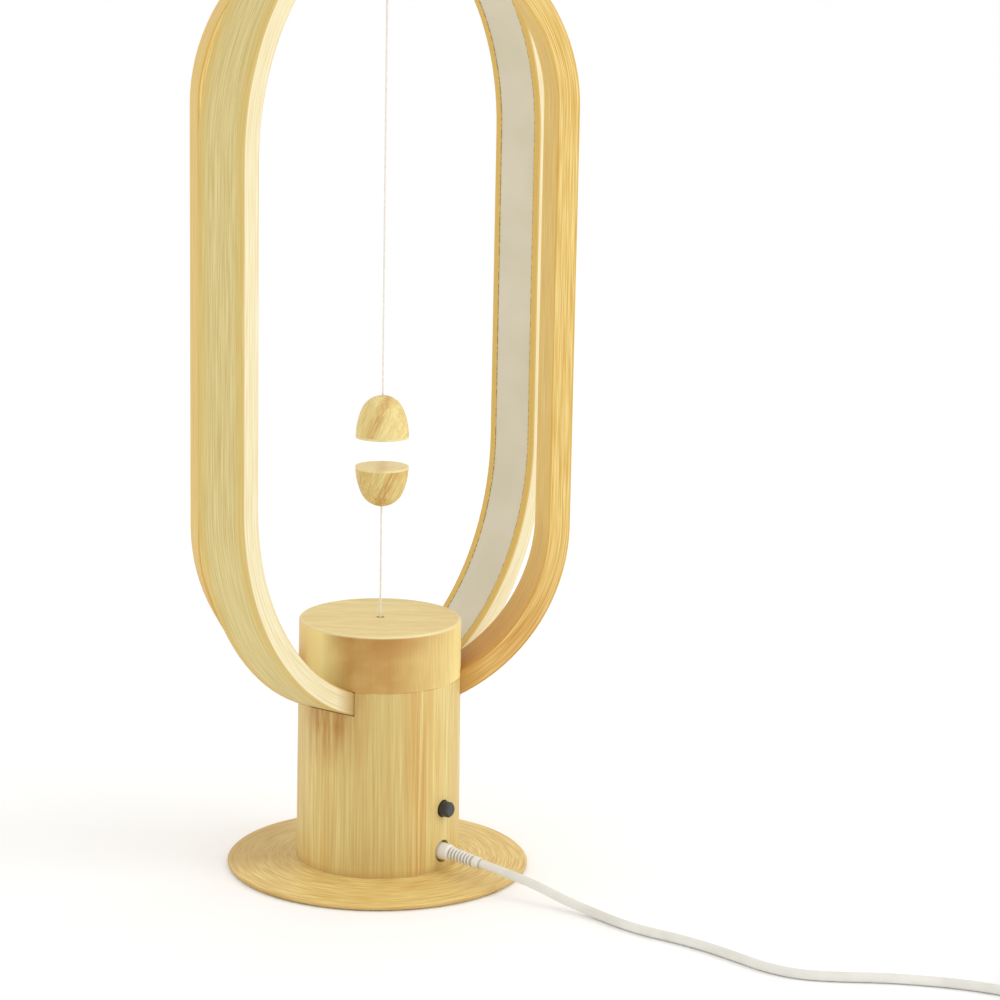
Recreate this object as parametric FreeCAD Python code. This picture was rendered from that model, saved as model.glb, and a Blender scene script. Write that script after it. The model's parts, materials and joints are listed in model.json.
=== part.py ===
import FreeCAD, Part
import math
import os

V = FreeCAD.Vector

# Table lamp of laminated bamboo: two crossing hoops stand in a turned body on
# a thin disc, and two egg-shaped magnets on strings pull towards each other
# in the middle. Lifting the lower egg draws its string tight and works the
# pull switch under the cap.
# Sizes are in millimetres. The table is z = 0, the strings hang on the z axis,
# the light hoop stands in the xz plane and the power lead leaves towards -y.

# Foot
disc_diameter = 109.0
disc_rim_thickness = 1.5
disc_rise = 1.5
disc_lift = 0.5
rim_round = 0.6
pad_diameter = 98.0
pad_thickness = 1.2
disc_screw_count = 3
disc_screw_shank = 2.8
disc_screw_head = 5.6
disc_screw_head_height = 1.7
disc_screw_grip = 14.0

# Turned body and cap
body_foot_radius = 29.6
body_taper = 0.5
body_wall = 6.0
body_height = 68.0
cap_height = 20.5
cap_ceiling = 6.0
cap_edge_round = 1.0
cap_string_hole = 3.0
dowel_diameter = 4.0
dowel_length = 16.0
dowel_angle = 69.5

# Hoops
hoop_thickness = 8.0
hoop_depth = 20.0
hoop_sink = 13.0
hoop_edge_bevel = 0.4
led_hoop_width = 175.0
led_hoop_height = 290.5
cross_hoop_width = 134.0
crossing_angle = 41.0

# Light strip in the inner face of the light hoop
diffuser_width = 14.6
diffuser_thickness = 1.0
diffuser_recess = 0.2
channel_width = 12.0
channel_depth = 3.0
channel_end_x = 25.0
diffuser_end_x = 27.0
wire_groove_width = 3.0
wire_groove_depth = 1.6
wire_groove_end_x = 19.0
strip_width = 10.0
strip_thickness = 0.3
chip_width = 2.8
chip_length = 3.5
chip_height = 0.7
chip_pitch = 16.7

# Magnet eggs and strings
egg_diameter = 19.0
upper_egg_height = 15.1
lower_egg_height = 14.5
upper_egg_drop = 191.4
egg_gap = 10.4
egg_cover_thickness = 0.8
magnet_diameter = 10.0
magnet_thickness = 3.0
string_diameter = 0.8
string_grip = 6.0
upper_bead_diameter = 3.0
upper_bead_drop = 2.9
upper_bead_seat_depth = 4.0
upper_bead_seat_diameter = 5.0
upper_string_hole = 2.4
upper_string_mouth = 4.0
lower_bead_diameter = 1.8
lower_bead_depth = 1.5

# Pull switch under the cap
pull_housing_height = 13.0
pull_housing_length = 12.0
pull_housing_width = 11.0
pull_floor = 2.2
ear_length = 5.5
ear_height = 4.0
plunger_diameter = 6.0
plunger_height = 2.0
plunger_stem = 1.8
plunger_lift = 5.0
spring_diameter = 4.8
spring_bore = 3.6
leaf_width = 2.4
leaf_thickness = 0.4
leaf_reach = 8.5
rivet_diameter = 1.2
ear_screw_shank = 2.0
ear_screw_head = 4.0
ear_screw_head_height = 1.4
ear_screw_grip = 4.0

# Ballast and control board
ballast_diameter = 46.0
ballast_height = 10.0
ballast_flat = 9.0
ballast_screw_shank = 4.0
ballast_screw_head = 7.5
ballast_screw_head_height = 2.0
ballast_screw_grip = 7.5
board_width = 24.0
board_height = 34.0
board_thickness = 1.6
board_lift = 1.0
spacer_length = 3.4
spacer_diameter = 5.0
board_screw_spread = 17.0
board_screw_height = 5.5
board_screw_shank = 2.5
board_screw_head = 4.6
board_screw_head_height = 1.5
board_screw_grip = 4.5

# Push button
button_height = 22.6
button_diameter = 5.6
button_hole = 6.4
button_length = 7.5
button_standout = 3.4
button_crown = 0.6
switch_side = 8.5
switch_depth = 8.5
stem_side = 3.0
stem_engagement = 2.0
stem_bore_depth = 4.5
stem_grip = 3.4

# Power socket and plug
socket_height = 6.7
socket_hole = 8.2
jack_width = 9.0
jack_height = 7.0
jack_depth = 8.8
barrel_diameter = 3.5
barrel_bore = 1.4
barrel_length = 7.6
jack_pin = 1.2
jack_bore_depth = 8.0
plug_head_diameter = 7.0
plug_head_length = 10.0
plug_neck_length = 1.0
plug_rib_count = 8
plug_rib_pitch = 1.15
plug_rib_depth = 0.5
plug_head_bevel = 0.5
plug_neck_step = 0.4
rib_groove_share = 0.4
plug_tail_length = 4.6
plug_tail_diameter = 4.2
plug_droop = 5.0

# Lead
cord_diameter = 3.3
lead_sides = 6
cord_lift = 0.1
arc_share = 0.45
coil_center_x = 46.0
coil_center_y = -270.0
coil_outer_radius = 23.6
coil_turns_per_layer = 2.25
coil_layers = 4
coil_pitch = 3.85
usb_boot_length = 12.0
usb_neck_length = 1.5
usb_boot_diameter = 6.4
usb_rib_count = 5
usb_rib_pitch = 1.9
overmould_width = 16.0
overmould_length = 24.0
overmould_height = 7.6
overmould_round = 1.8
usb_shell_width = 12.0
usb_shell_height = 4.5
usb_shell_length = 12.0
usb_shell_wall = 0.3
usb_window_width = 2.0
usb_window_length = 2.4
usb_window_inset = 4.2
usb_window_spread = 5.0
usb_tongue_thickness = 1.9
usb_tongue_length = 9.0
wire_diameter = 1.2

# Clearances
slot_clearance = 0.2
lap_clearance = 0.2
pocket_clearance = 0.1
seat_clearance = 0.05
screw_clearance = 0.05
stem_clearance = 0.15
plunger_clearance = 0.3
plug_clearance = 0.1
string_clearance = 0.1
bead_clearance = 0.05

# Heights that follow from the sizes above
foot_z = disc_lift + disc_rim_thickness + disc_rise
seam_z = foot_z + body_height
cap_top_z = seam_z + cap_height
ceiling_z = cap_top_z - cap_ceiling
body_bore_radius = body_foot_radius - body_wall
hoop_bottom_z = seam_z - hoop_sink
led_half = led_hoop_width / 2
cross_half = cross_hoop_width / 2
led_low_z = hoop_bottom_z + led_half
led_high_z = hoop_bottom_z + led_hoop_height - led_half
cross_top_z = hoop_bottom_z + led_hoop_height - hoop_thickness
cross_low_z = hoop_bottom_z + cross_half
cross_high_z = cross_top_z - cross_half
egg_radius = egg_diameter / 2
upper_flat_z = hoop_bottom_z + led_hoop_height - upper_egg_drop
upper_tip_z = upper_flat_z + upper_egg_height
lower_flat_z = upper_flat_z - egg_gap
lower_tip_z = lower_flat_z - lower_egg_height
upper_pivot_z = cross_top_z - upper_bead_drop
lower_pivot_z = cap_top_z - lower_bead_depth
socket_z = foot_z + socket_height
button_z = foot_z + button_height
cord_radius = cord_diameter / 2
cord_table_z = cord_radius + cord_lift
board_back_y = -ballast_flat - spacer_length
board_front_y = board_back_y - board_thickness


def box(x0, x1, y0, y1, z0, z1):
    return Part.makeBox(x1 - x0, y1 - y0, z1 - z0, V(x0, y0, z0))


def rod(radius, start, end):
    along = end - start
    return Part.makeCylinder(radius, along.Length, start, along)


def spun(profile):
    # A turned piece: a closed profile of (radius, height) pairs round the z axis.
    wire = Part.makePolygon([V(r, 0, z) for r, z in profile + profile[:1]])
    return Part.Face(wire).revolve(V(0, 0, 0), V(0, 0, 1), 360)


def aimed(shape, start, direction):
    # Carries a piece made along +z from the origin to its place and direction.
    turn = FreeCAD.Rotation(V(0, 0, 1), direction)
    shape.Placement = FreeCAD.Placement(start, turn)
    return shape


def body_radius(z):
    share = (z - foot_z) / (cap_top_z - foot_z)
    return body_foot_radius - body_taper * share


def stadium(half_width, low_z, high_z, depth):
    # A flat-sided prism with a half-circle at the top and at the bottom.
    y = -depth / 2
    low_left = V(-half_width, y, low_z)
    low_right = V(half_width, y, low_z)
    high_right = V(half_width, y, high_z)
    high_left = V(-half_width, y, high_z)
    edges = [
        Part.Arc(low_left, V(0, y, low_z - half_width), low_right).toShape(),
        Part.LineSegment(low_right, high_right).toShape(),
        Part.Arc(high_right, V(0, y, high_z + half_width), high_left).toShape(),
        Part.LineSegment(high_left, low_left).toShape(),
    ]
    return Part.Face(Part.Wire(edges)).extrude(V(0, depth, 0))


def hoop_blank(half_width, low_z, high_z, grow, depth):
    outer = stadium(half_width + grow, low_z, high_z, depth)
    inner = stadium(half_width - hoop_thickness - grow, low_z, high_z, depth)
    return outer.cut(inner)


def crossed(shape):
    shape.rotate(V(0, 0, 0), V(0, 0, 1), -crossing_angle)
    return shape


def screw(shank, head, head_height, grip, countersunk):
    # Head at the bottom and shank upwards; the joint face is z = 0.
    rim = shank / 2 if countersunk else head / 2
    profile = [
        (0, -head_height),
        (head / 2, -head_height),
        (rim, 0),
        (shank / 2, 0),
        (shank / 2, grip),
        (0, grip),
    ]
    if countersunk:
        profile.pop(3)
    return spun(profile)


def screw_hole(shank, head, head_height, grip, countersunk):
    gap = screw_clearance
    return screw(shank + 2 * gap, head + 2 * gap, head_height + gap, grip + gap, countersunk)


def bent_path(points):
    # Straight runs joined by tangent arcs, each as wide as its two runs allow.
    edges = []
    radii = []
    start = points[0]
    for before, corner, after in zip(points, points[1:], points[2:]):
        inward = corner - before
        outward = after - corner
        shorter = min(inward.Length, outward.Length)
        half_turn = inward.getAngle(outward) / 2
        reach = arc_share * shorter
        radius = reach / math.tan(half_turn)
        inward.normalize()
        outward.normalize()
        arc_start = corner - inward * reach
        arc_end = corner + outward * reach
        toward = outward - inward
        toward.normalize()
        arc_middle = corner + toward * (radius / math.cos(half_turn) - radius)
        edges.append(Part.LineSegment(start, arc_start).toShape())
        edges.append(Part.Arc(arc_start, arc_middle, arc_end).toShape())
        radii.append(radius)
        start = arc_end
    edges.append(Part.LineSegment(start, points[-1]).toShape())
    return Part.Wire(edges), radii


def section_area(radius):
    return lead_sides / 2 * radius**2 * math.sin(2 * math.pi / lead_sides)


def tube(path, radius, start, direction):
    # A lead or wire with a many-sided section, its corners on the real radius.
    turn = FreeCAD.Rotation(V(0, 0, 1), direction)
    corners = []
    for side in range(lead_sides + 1):
        angle = 2 * math.pi * (side + 0.5) / lead_sides
        corners.append(start + turn.multVec(V(radius * math.cos(angle), radius * math.sin(angle), 0)))
    return path.makePipeShell([Part.makePolygon(corners)], True, False)


def bent_tube(points, radius, name):
    path, radii = bent_path(points)
    solid = tube(path, radius, points[0], points[1] - points[0])
    expected = section_area(radius) * path.Length
    print(name, "length", round(path.Length, 1), "least radius", round(min(radii), 1))
    print(name, "volume over section times length", round(solid.Volume / expected, 4))
    return solid


def arc_from(start, tangent, end):
    chord = end - start
    along = V(chord)
    along.normalize()
    side = tangent - along * tangent.dot(along)
    if side.Length < 1e-9:
        return Part.LineSegment(start, end).toShape()
    side.normalize()
    rise = chord.Length / 2 * math.tan(tangent.getAngle(chord) / 2)
    return Part.Arc(start, start + chord * 0.5 + side * rise, end).toShape()


def biarc(start, start_tangent, end, end_tangent):
    # Two tangent arcs between two points with given directions.
    chord = end - start
    both = start_tangent + end_tangent
    spread = 2 * (1 - start_tangent.dot(end_tangent))
    reach = chord.dot(both)
    if spread < 1e-9:
        length = chord.dot(chord) / (4 * chord.dot(end_tangent))
    else:
        length = (math.sqrt(reach**2 + spread * chord.dot(chord)) - reach) / spread
    middle = (start + start_tangent * length + end - end_tangent * length) * 0.5
    first = arc_from(start, start_tangent, middle)
    leave = middle - start - start_tangent * length
    leave.normalize()
    return [first, arc_from(middle, leave, end)]


# Foot


def disc_screw_places():
    radius = body_foot_radius - body_wall / 2
    for index in range(disc_screw_count):
        angle = math.radians(90 + 360 * index / disc_screw_count)
        yield V(radius * math.cos(angle), radius * math.sin(angle), 0)


def disc_screw(hole):
    make = screw_hole if hole else screw
    shank, head, height = disc_screw_shank, disc_screw_head, disc_screw_head_height
    return make(shank, head, height, disc_screw_grip, True)


def disc_screw_set(hole):
    seat_z = pad_thickness + disc_screw_head_height + screw_clearance
    shapes = [disc_screw(hole).translated(place + V(0, 0, seat_z)) for place in disc_screw_places()]
    return Part.makeCompound(shapes)


def ballast_screw(hole):
    make = screw_hole if hole else screw
    shank, head, height = ballast_screw_shank, ballast_screw_head, ballast_screw_head_height
    shape = make(shank, head, height, ballast_screw_grip, True)
    return shape.translated(V(0, 0, pad_thickness + height + screw_clearance))


def base_disc():
    # A thin turned disc, its top rising gently from a rounded rim to the body.
    rim_r = disc_diameter / 2
    rim_top = disc_lift + disc_rim_thickness
    recess_r = pad_diameter / 2 + pocket_clearance
    shape = spun(
        [
            (0, pad_thickness),
            (recess_r, pad_thickness),
            (recess_r, disc_lift),
            (rim_r - rim_round, disc_lift),
            (rim_r, disc_lift + rim_round),
            (rim_r, rim_top - rim_round),
            (rim_r - rim_round, rim_top),
            (body_foot_radius, foot_z),
            (0, foot_z),
        ]
    )
    return shape.cut(disc_screw_set(True)).cut(ballast_screw(True))


def felt_pad():
    return Part.makeCylinder(pad_diameter / 2, pad_thickness)


def ballast():
    # A steel weight with a flat in front, where the board is screwed on.
    radius = ballast_diameter / 2
    shape = Part.makeCylinder(radius, ballast_height, V(0, 0, foot_z))
    front = box(-radius, radius, -radius - 1, -ballast_flat, foot_z, foot_z + ballast_height)
    return shape.cut(front).cut(ballast_screw(True)).cut(board_screw_set(True))


# Body and cap


def dowels(gap):
    radius = (body_bore_radius + body_radius(seam_z)) / 2
    shapes = []
    for angle in (dowel_angle, dowel_angle + 180):
        turn = math.radians(angle)
        x, y = radius * math.cos(turn), radius * math.sin(turn)
        low = V(x, y, seam_z - dowel_length / 2 - gap)
        high = V(x, y, seam_z + dowel_length / 2 + gap)
        shapes.append(rod(dowel_diameter / 2 + gap, low, high))
    return Part.makeCompound(shapes)


def base_cylinder():
    # A turned tube. Each hoop lies in a slot that is open at the top edge.
    shape = spun(
        [
            (body_bore_radius, foot_z),
            (body_foot_radius, foot_z),
            (body_radius(seam_z), seam_z),
            (body_bore_radius, seam_z),
        ]
    )
    slot_depth = hoop_depth + 2 * slot_clearance
    led_slot = stadium(led_half + slot_clearance, led_low_z, led_high_z, slot_depth)
    cross_slot = stadium(cross_half + slot_clearance, cross_low_z, cross_high_z, slot_depth)
    shape = shape.cut(led_slot).cut(crossed(cross_slot))
    outside = V(0, -body_foot_radius - 1, 0)
    button_bore = rod(button_hole / 2, outside + V(0, 0, button_z), V(0, -1, button_z))
    socket_bore = rod(socket_hole / 2, outside + V(0, 0, socket_z), V(0, -1, socket_z))
    shape = shape.cut(button_bore).cut(socket_bore)
    return shape.cut(disc_screw_set(True)).cut(dowels(screw_clearance))


def base_cap():
    # The cap closes the slots over the hoops and carries the pull switch.
    shape = spun(
        [
            (body_bore_radius, seam_z),
            (body_radius(seam_z), seam_z),
            (body_radius(cap_top_z), cap_top_z),
            (0, cap_top_z),
            (0, ceiling_z),
            (body_bore_radius, ceiling_z),
        ]
    )
    rim = [e for e in shape.Edges if e.BoundBox.ZMin > cap_top_z - 0.01 and e.Length > 1]
    shape = shape.makeFillet(cap_edge_round, rim)
    slot_depth = hoop_depth + 2 * slot_clearance
    led_ring = hoop_blank(led_half, led_low_z, led_high_z, slot_clearance, slot_depth)
    cross_ring = hoop_blank(cross_half, cross_low_z, cross_high_z, slot_clearance, slot_depth)
    shape = shape.cut(led_ring).cut(crossed(cross_ring))
    string_bore = rod(cap_string_hole / 2, V(0, 0, seam_z), V(0, 0, cap_top_z + 1))
    shape = shape.cut(string_bore)
    return shape.cut(dowels(screw_clearance)).cut(ear_screw_set(True))


# Hoops and light


def bevelled_hoop(half_width, low_z, high_z):
    shape = hoop_blank(half_width, low_z, high_z, 0, hoop_depth)
    face_y = hoop_depth / 2 - 0.01
    rims = [e for e in shape.Edges if e.BoundBox.YMin > face_y or e.BoundBox.YMax < -face_y]
    return shape.makeChamfer(hoop_edge_bevel, rims)


def led_lap_surface(grow):
    # Half the thickness of the light hoop, where the two hoops are let together.
    half = led_half - hoop_thickness / 2 + grow
    return stadium(half, led_low_z, led_high_z, led_hoop_width)


def led_hoop():
    # Laminated hoop with a stepped groove for the light strip in its inner
    # face. At the bottom it keeps the upper half of the crossing joint.
    shape = bevelled_hoop(led_half, led_low_z, led_high_z)
    rebate_half = led_half - hoop_thickness + diffuser_recess + diffuser_thickness
    rebate_depth = diffuser_width + 2 * seat_clearance
    rebate = stadium(rebate_half, led_low_z, led_high_z, rebate_depth)
    channel_half = rebate_half + channel_depth
    channel = stadium(channel_half, led_low_z, led_high_z, channel_width)
    end = channel_end_x
    stop = box(-end, end, -hoop_depth, hoop_depth, hoop_bottom_z, led_low_z)
    shape = shape.cut(rebate.cut(stop)).cut(channel.cut(stop))
    groove_half = led_half - hoop_thickness + wire_groove_depth
    groove = stadium(groove_half, led_low_z, led_high_z, wire_groove_width)
    entry = box(-end - 1, -wire_groove_end_x, -end, end, hoop_bottom_z, led_low_z)
    shape = shape.cut(groove.common(entry))
    depth = hoop_depth + 2 * lap_clearance
    cross_ring = crossed(hoop_blank(cross_half, cross_low_z, cross_high_z, lap_clearance, depth))
    below = box(-led_half, led_half, -led_half, led_half, 0, led_low_z)
    return shape.cut(cross_ring.common(below).cut(led_lap_surface(0)))


def cross_hoop():
    # Narrower hoop that nests under the top of the light hoop, its crown eased
    # to that curve, and keeps the lower half of the crossing joint. The upper
    # string hangs from a bead in a counterbore in its crown.
    shape = crossed(bevelled_hoop(cross_half, cross_low_z, cross_high_z))
    depth = hoop_depth + 2 * lap_clearance
    led_ring = hoop_blank(led_half, led_low_z, led_high_z, lap_clearance, depth)
    below = box(-led_half, led_half, -led_half, led_half, 0, led_low_z)
    shape = shape.cut(led_ring.cut(below))
    shape = shape.cut(led_ring.common(below).common(led_lap_surface(lap_clearance)))
    seat_z = cross_top_z - upper_bead_seat_depth
    inner_z = cross_top_z - hoop_thickness
    bore = spun(
        [
            (0, inner_z - 1),
            (upper_string_mouth / 2, inner_z - 1),
            (upper_string_mouth / 2, inner_z),
            (upper_string_hole / 2, seat_z),
            (upper_bead_seat_diameter / 2, seat_z),
            (upper_bead_seat_diameter / 2, cross_top_z + 1),
            (0, cross_top_z + 1),
        ]
    )
    return shape.cut(bore)


def lined(half_width, thickness, width, end_x):
    # A strip that lines the light hoop, open between its ends at the bottom.
    outer = stadium(half_width, led_low_z, led_high_z, width)
    inner = stadium(half_width - thickness, led_low_z, led_high_z, width)
    stop = box(-end_x, end_x, -width, width, hoop_bottom_z, led_low_z)
    return outer.cut(inner).cut(stop)


def diffuser():
    half = led_half - hoop_thickness + diffuser_recess + diffuser_thickness - seat_clearance
    return lined(half, diffuser_thickness, diffuser_width, diffuser_end_x)


def strip_half():
    rebate = diffuser_recess + diffuser_thickness
    return led_half - hoop_thickness + rebate + channel_depth - seat_clearance


def led_strip():
    return lined(strip_half(), strip_thickness, strip_width, diffuser_end_x)


def led_chips():
    # Chips at an even pitch along the strip, each square to the hoop.
    half = strip_half() - strip_thickness - seat_clearance
    start_angle = math.asin((diffuser_end_x + chip_length) / half)
    low_arc = (math.pi / 2 - start_angle) * half
    side = led_high_z - led_low_z
    total = 2 * low_arc + 2 * side + math.pi * half
    count = int(total / chip_pitch)
    chip = box(-chip_height, 0, -chip_width / 2, chip_width / 2, -chip_length / 2, chip_length / 2)
    chips = []
    for index in range(count):
        run = total * (index + 0.5) / count
        if run < low_arc:
            angle, z = start_angle + run / half - math.pi / 2, led_low_z
        elif run < low_arc + side:
            angle, z = 0, led_low_z + run - low_arc
        elif run < low_arc + side + math.pi * half:
            angle, z = (run - low_arc - side) / half, led_high_z
        elif run < low_arc + 2 * side + math.pi * half:
            angle, z = math.pi, led_high_z - (run - low_arc - side - math.pi * half)
        else:
            angle, z = math.pi + (run - low_arc - 2 * side - math.pi * half) / half, led_low_z
        place = V(half * math.cos(angle), 0, z + half * math.sin(angle))
        turn = FreeCAD.Rotation(V(0, 1, 0), -math.degrees(angle))
        piece = chip.copy()
        piece.Placement = FreeCAD.Placement(place, turn)
        chips.append(piece)
    return Part.makeCompound(chips)


# Eggs and strings


def egg_half(height):
    # Half of an egg, its side two tangent arcs from the flat at z = 0 to the blunt tip.
    rim, tip = V(egg_radius, 0, 0), V(0, 0, height)
    flat = Part.LineSegment(V(0, 0, 0), rim).toShape()
    side = biarc(rim, V(0, 0, 1), tip, V(-1, 0, 0))
    axis = Part.LineSegment(tip, V(0, 0, 0)).toShape()
    return Part.Face(Part.Wire([flat, *side, axis])).revolve(V(0, 0, 0), V(0, 0, 1), 360)


def egg_pieces(height):
    # Egg, cover and magnet, with the flat of the cover at z = 0.
    whole = egg_half(height)
    slab = box(-egg_diameter, egg_diameter, -egg_diameter, egg_diameter, -1, egg_cover_thickness)
    cover = whole.common(slab)
    egg = whole.cut(slab)
    pocket_top = egg_cover_thickness + magnet_thickness + 2 * seat_clearance
    pocket_r = magnet_diameter / 2 + pocket_clearance
    egg = egg.cut(rod(pocket_r, V(0, 0, 0), V(0, 0, pocket_top)))
    string_r = string_diameter / 2 + string_clearance
    egg = egg.cut(rod(string_r, V(0, 0, height - string_grip), V(0, 0, height + 1)))
    magnet_z = egg_cover_thickness + seat_clearance
    magnet = Part.makeCylinder(magnet_diameter / 2, magnet_thickness, V(0, 0, magnet_z))
    return egg, cover, magnet


def upper_egg_set():
    return [piece.translated(V(0, 0, upper_flat_z)) for piece in egg_pieces(upper_egg_height)]


def lower_egg_set():
    turned = [aimed(piece, V(0, 0, lower_flat_z), V(0, 0, -1)) for piece in egg_pieces(lower_egg_height)]
    return turned


def upper_string():
    top = upper_pivot_z - upper_bead_diameter / 2 - bead_clearance
    bottom = upper_tip_z - string_grip + string_clearance
    return rod(string_diameter / 2, V(0, 0, bottom), V(0, 0, top))


def lower_string():
    bottom = lower_pivot_z + lower_bead_diameter / 2 + bead_clearance
    top = lower_tip_z + string_grip - string_clearance
    return rod(string_diameter / 2, V(0, 0, bottom), V(0, 0, top))


def bead(diameter, z):
    return Part.makeSphere(diameter / 2, V(0, 0, z))


# Pull switch

pull_low_z = ceiling_z - pull_housing_height
pull_floor_z = pull_low_z + pull_floor
plunger_low_z = pull_low_z + plunger_lift
plunger_top_z = plunger_low_z + plunger_height
ear_screw_x = pull_housing_length / 2 + ear_length / 2


def pull_housing():
    # A small block with two ears; its bore guides the plunger and the spring.
    half_x, half_y = pull_housing_length / 2, pull_housing_width / 2
    shape = box(-half_x, half_x, -half_y, half_y, pull_low_z, ceiling_z)
    ear_x = half_x + ear_length
    ears = box(-ear_x, ear_x, -half_y, half_y, ceiling_z - ear_height, ceiling_z)
    shape = shape.fuse(ears).removeSplitter()
    bore_r = plunger_diameter / 2 + plunger_clearance
    shape = shape.cut(rod(bore_r, V(0, 0, pull_floor_z), V(0, 0, ceiling_z + 1)))
    rivet_r = rivet_diameter / 2 + pocket_clearance
    shape = shape.cut(rod(rivet_r, V(0, 0, pull_low_z - 1), V(0, 0, pull_floor_z + 1)))
    half_leaf = leaf_width / 2 + pocket_clearance
    slot_top = pull_floor_z + leaf_thickness + 3 * seat_clearance
    slot = box(-half_leaf, half_leaf, -half_y - 1, 0, pull_floor_z, slot_top)
    return shape.cut(slot).cut(ear_screw_set(True))


def pull_plunger():
    stem_top = lower_pivot_z - lower_bead_diameter / 2 - 2 * bead_clearance
    flange = rod(plunger_diameter / 2, V(0, 0, plunger_low_z), V(0, 0, plunger_top_z))
    stem = rod(plunger_stem / 2, V(0, 0, plunger_low_z), V(0, 0, stem_top))
    return flange.fuse(stem).removeSplitter()


def pull_spring():
    low, high = V(0, 0, plunger_top_z), V(0, 0, ceiling_z)
    return rod(spring_diameter / 2, low, high).cut(rod(spring_bore / 2, low, high))


def contact_leaves():
    # The moving leaf lies on the floor of the housing; the fixed one lies
    # under the floor and reaches it with a rivet.
    half = leaf_width / 2
    leaf_z = pull_floor_z + seat_clearance
    upper = box(-half, half, -leaf_reach, half, leaf_z, leaf_z + leaf_thickness)
    lower = box(-half, half, -leaf_reach, half, pull_low_z - leaf_thickness, pull_low_z)
    rivet = rod(rivet_diameter / 2, V(0, 0, pull_low_z - leaf_thickness), V(0, 0, pull_floor_z))
    return Part.makeCompound([upper, lower.fuse(rivet).removeSplitter()])


def ear_screw_set(hole):
    make = screw_hole if hole else screw
    grip = ear_height + ear_screw_grip
    shape = make(ear_screw_shank, ear_screw_head, ear_screw_head_height, grip, False)
    z = ceiling_z - ear_height
    pair = [shape.translated(V(x, 0, z)) for x in (-ear_screw_x, ear_screw_x)]
    return Part.makeCompound(pair)


# Control board, button and socket


def board_screw_set(hole):
    make = screw_hole if hole else screw
    grip = board_thickness + spacer_length + board_screw_grip
    shapes = []
    for x in (-board_screw_spread / 2, board_screw_spread / 2):
        shape = make(board_screw_shank, board_screw_head, board_screw_head_height, grip, False)
        place = V(x, board_front_y, foot_z + board_screw_height)
        shapes.append(aimed(shape, place, V(0, 1, 0)))
    return Part.makeCompound(shapes)


def control_board():
    low = foot_z + board_lift
    half = board_width / 2
    shape = box(-half, half, board_front_y, board_back_y, low, low + board_height)
    return shape.cut(board_screw_set(True))


def board_spacers():
    shapes = []
    for x in (-board_screw_spread / 2, board_screw_spread / 2):
        z = foot_z + board_screw_height
        shapes.append(rod(spacer_diameter / 2, V(x, board_back_y, z), V(x, -ballast_flat, z)))
    return Part.makeCompound(shapes).cut(board_screw_set(True))


switch_front_y = board_front_y - switch_depth
stem_inner_y = switch_front_y + stem_engagement
button_front_y = -body_radius(button_z) - button_standout
button_back_y = button_front_y + button_length


def power_switch_body():
    half = switch_side / 2
    shape = box(-half, half, switch_front_y, board_front_y, button_z - half, button_z + half)
    bore = stem_side / 2 + stem_clearance
    deep = switch_front_y + stem_bore_depth
    hole = box(-bore, bore, switch_front_y - 1, deep, button_z - bore, button_z + bore)
    return shape.cut(hole)


def switch_stem():
    half = stem_side / 2
    outer_y = button_back_y - stem_grip + seat_clearance
    return box(-half, half, outer_y, stem_inner_y, button_z - half, button_z + half)


def button_cap():
    # A round cap with a crowned face, pushed onto the square stem.
    radius = button_diameter / 2
    shape = spun(
        [
            (0, 0),
            (radius, 0),
            (radius, button_length - button_crown),
            (radius - button_crown, button_length),
            (0, button_length),
        ]
    )
    shape = aimed(shape, V(0, button_back_y, button_z), V(0, -1, 0))
    half = stem_side / 2 + seat_clearance
    low_y = button_back_y - stem_grip
    return shape.cut(box(-half, half, low_y, button_back_y + 1, button_z - half, button_z + half))


jack_front_y = board_front_y - jack_depth


def dc_jack():
    half_x, half_z = jack_width / 2, jack_height / 2
    shape = box(-half_x, half_x, jack_front_y, board_front_y, socket_z - half_z, socket_z + half_z)
    mouth = V(0, jack_front_y - 1, socket_z)
    bottom = V(0, jack_front_y + jack_bore_depth, socket_z)
    shape = shape.cut(rod(barrel_diameter / 2 + plug_clearance, mouth, bottom))
    pin_start = V(0, jack_front_y + 1, socket_z)
    return shape.fuse(rod(jack_pin / 2, pin_start, bottom)).removeSplitter()


head_start = V(0, jack_front_y - 2 * plug_clearance, socket_z)


def plug_barrel():
    inner = head_start + V(0, barrel_length, 0)
    shape = rod(barrel_diameter / 2, head_start, inner)
    return shape.cut(rod(barrel_bore / 2, head_start + V(0, 1, 0), inner + V(0, 1, 0)))


droop = math.radians(plug_droop)
boot_direction = V(0, -math.cos(droop), -math.sin(droop))
boot_start = head_start + V(0, -plug_head_length + plug_neck_length, 0)
ribbed_length = plug_neck_length + plug_rib_count * plug_rib_pitch
cord_start = boot_start + boot_direction * (ribbed_length + plug_tail_length)


def ribbed_profile(start_r, end_r, lead_in, count, pitch, groove, tail):
    # A tapering sleeve with saw-tooth ribs, closed by a smooth cone at the cord.
    profile = [(0, 0), (start_r, 0), (start_r, lead_in)]
    for index in range(count):
        share = (index + 1) / (count + 1)
        r = start_r + (end_r - start_r) * share
        z = lead_in + index * pitch
        profile += [(r - groove, z + pitch * rib_groove_share), (r, z + pitch)]
    last = lead_in + count * pitch
    return profile + [(end_r, last), (tail[0], last + tail[1]), (0, last + tail[1])]


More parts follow.
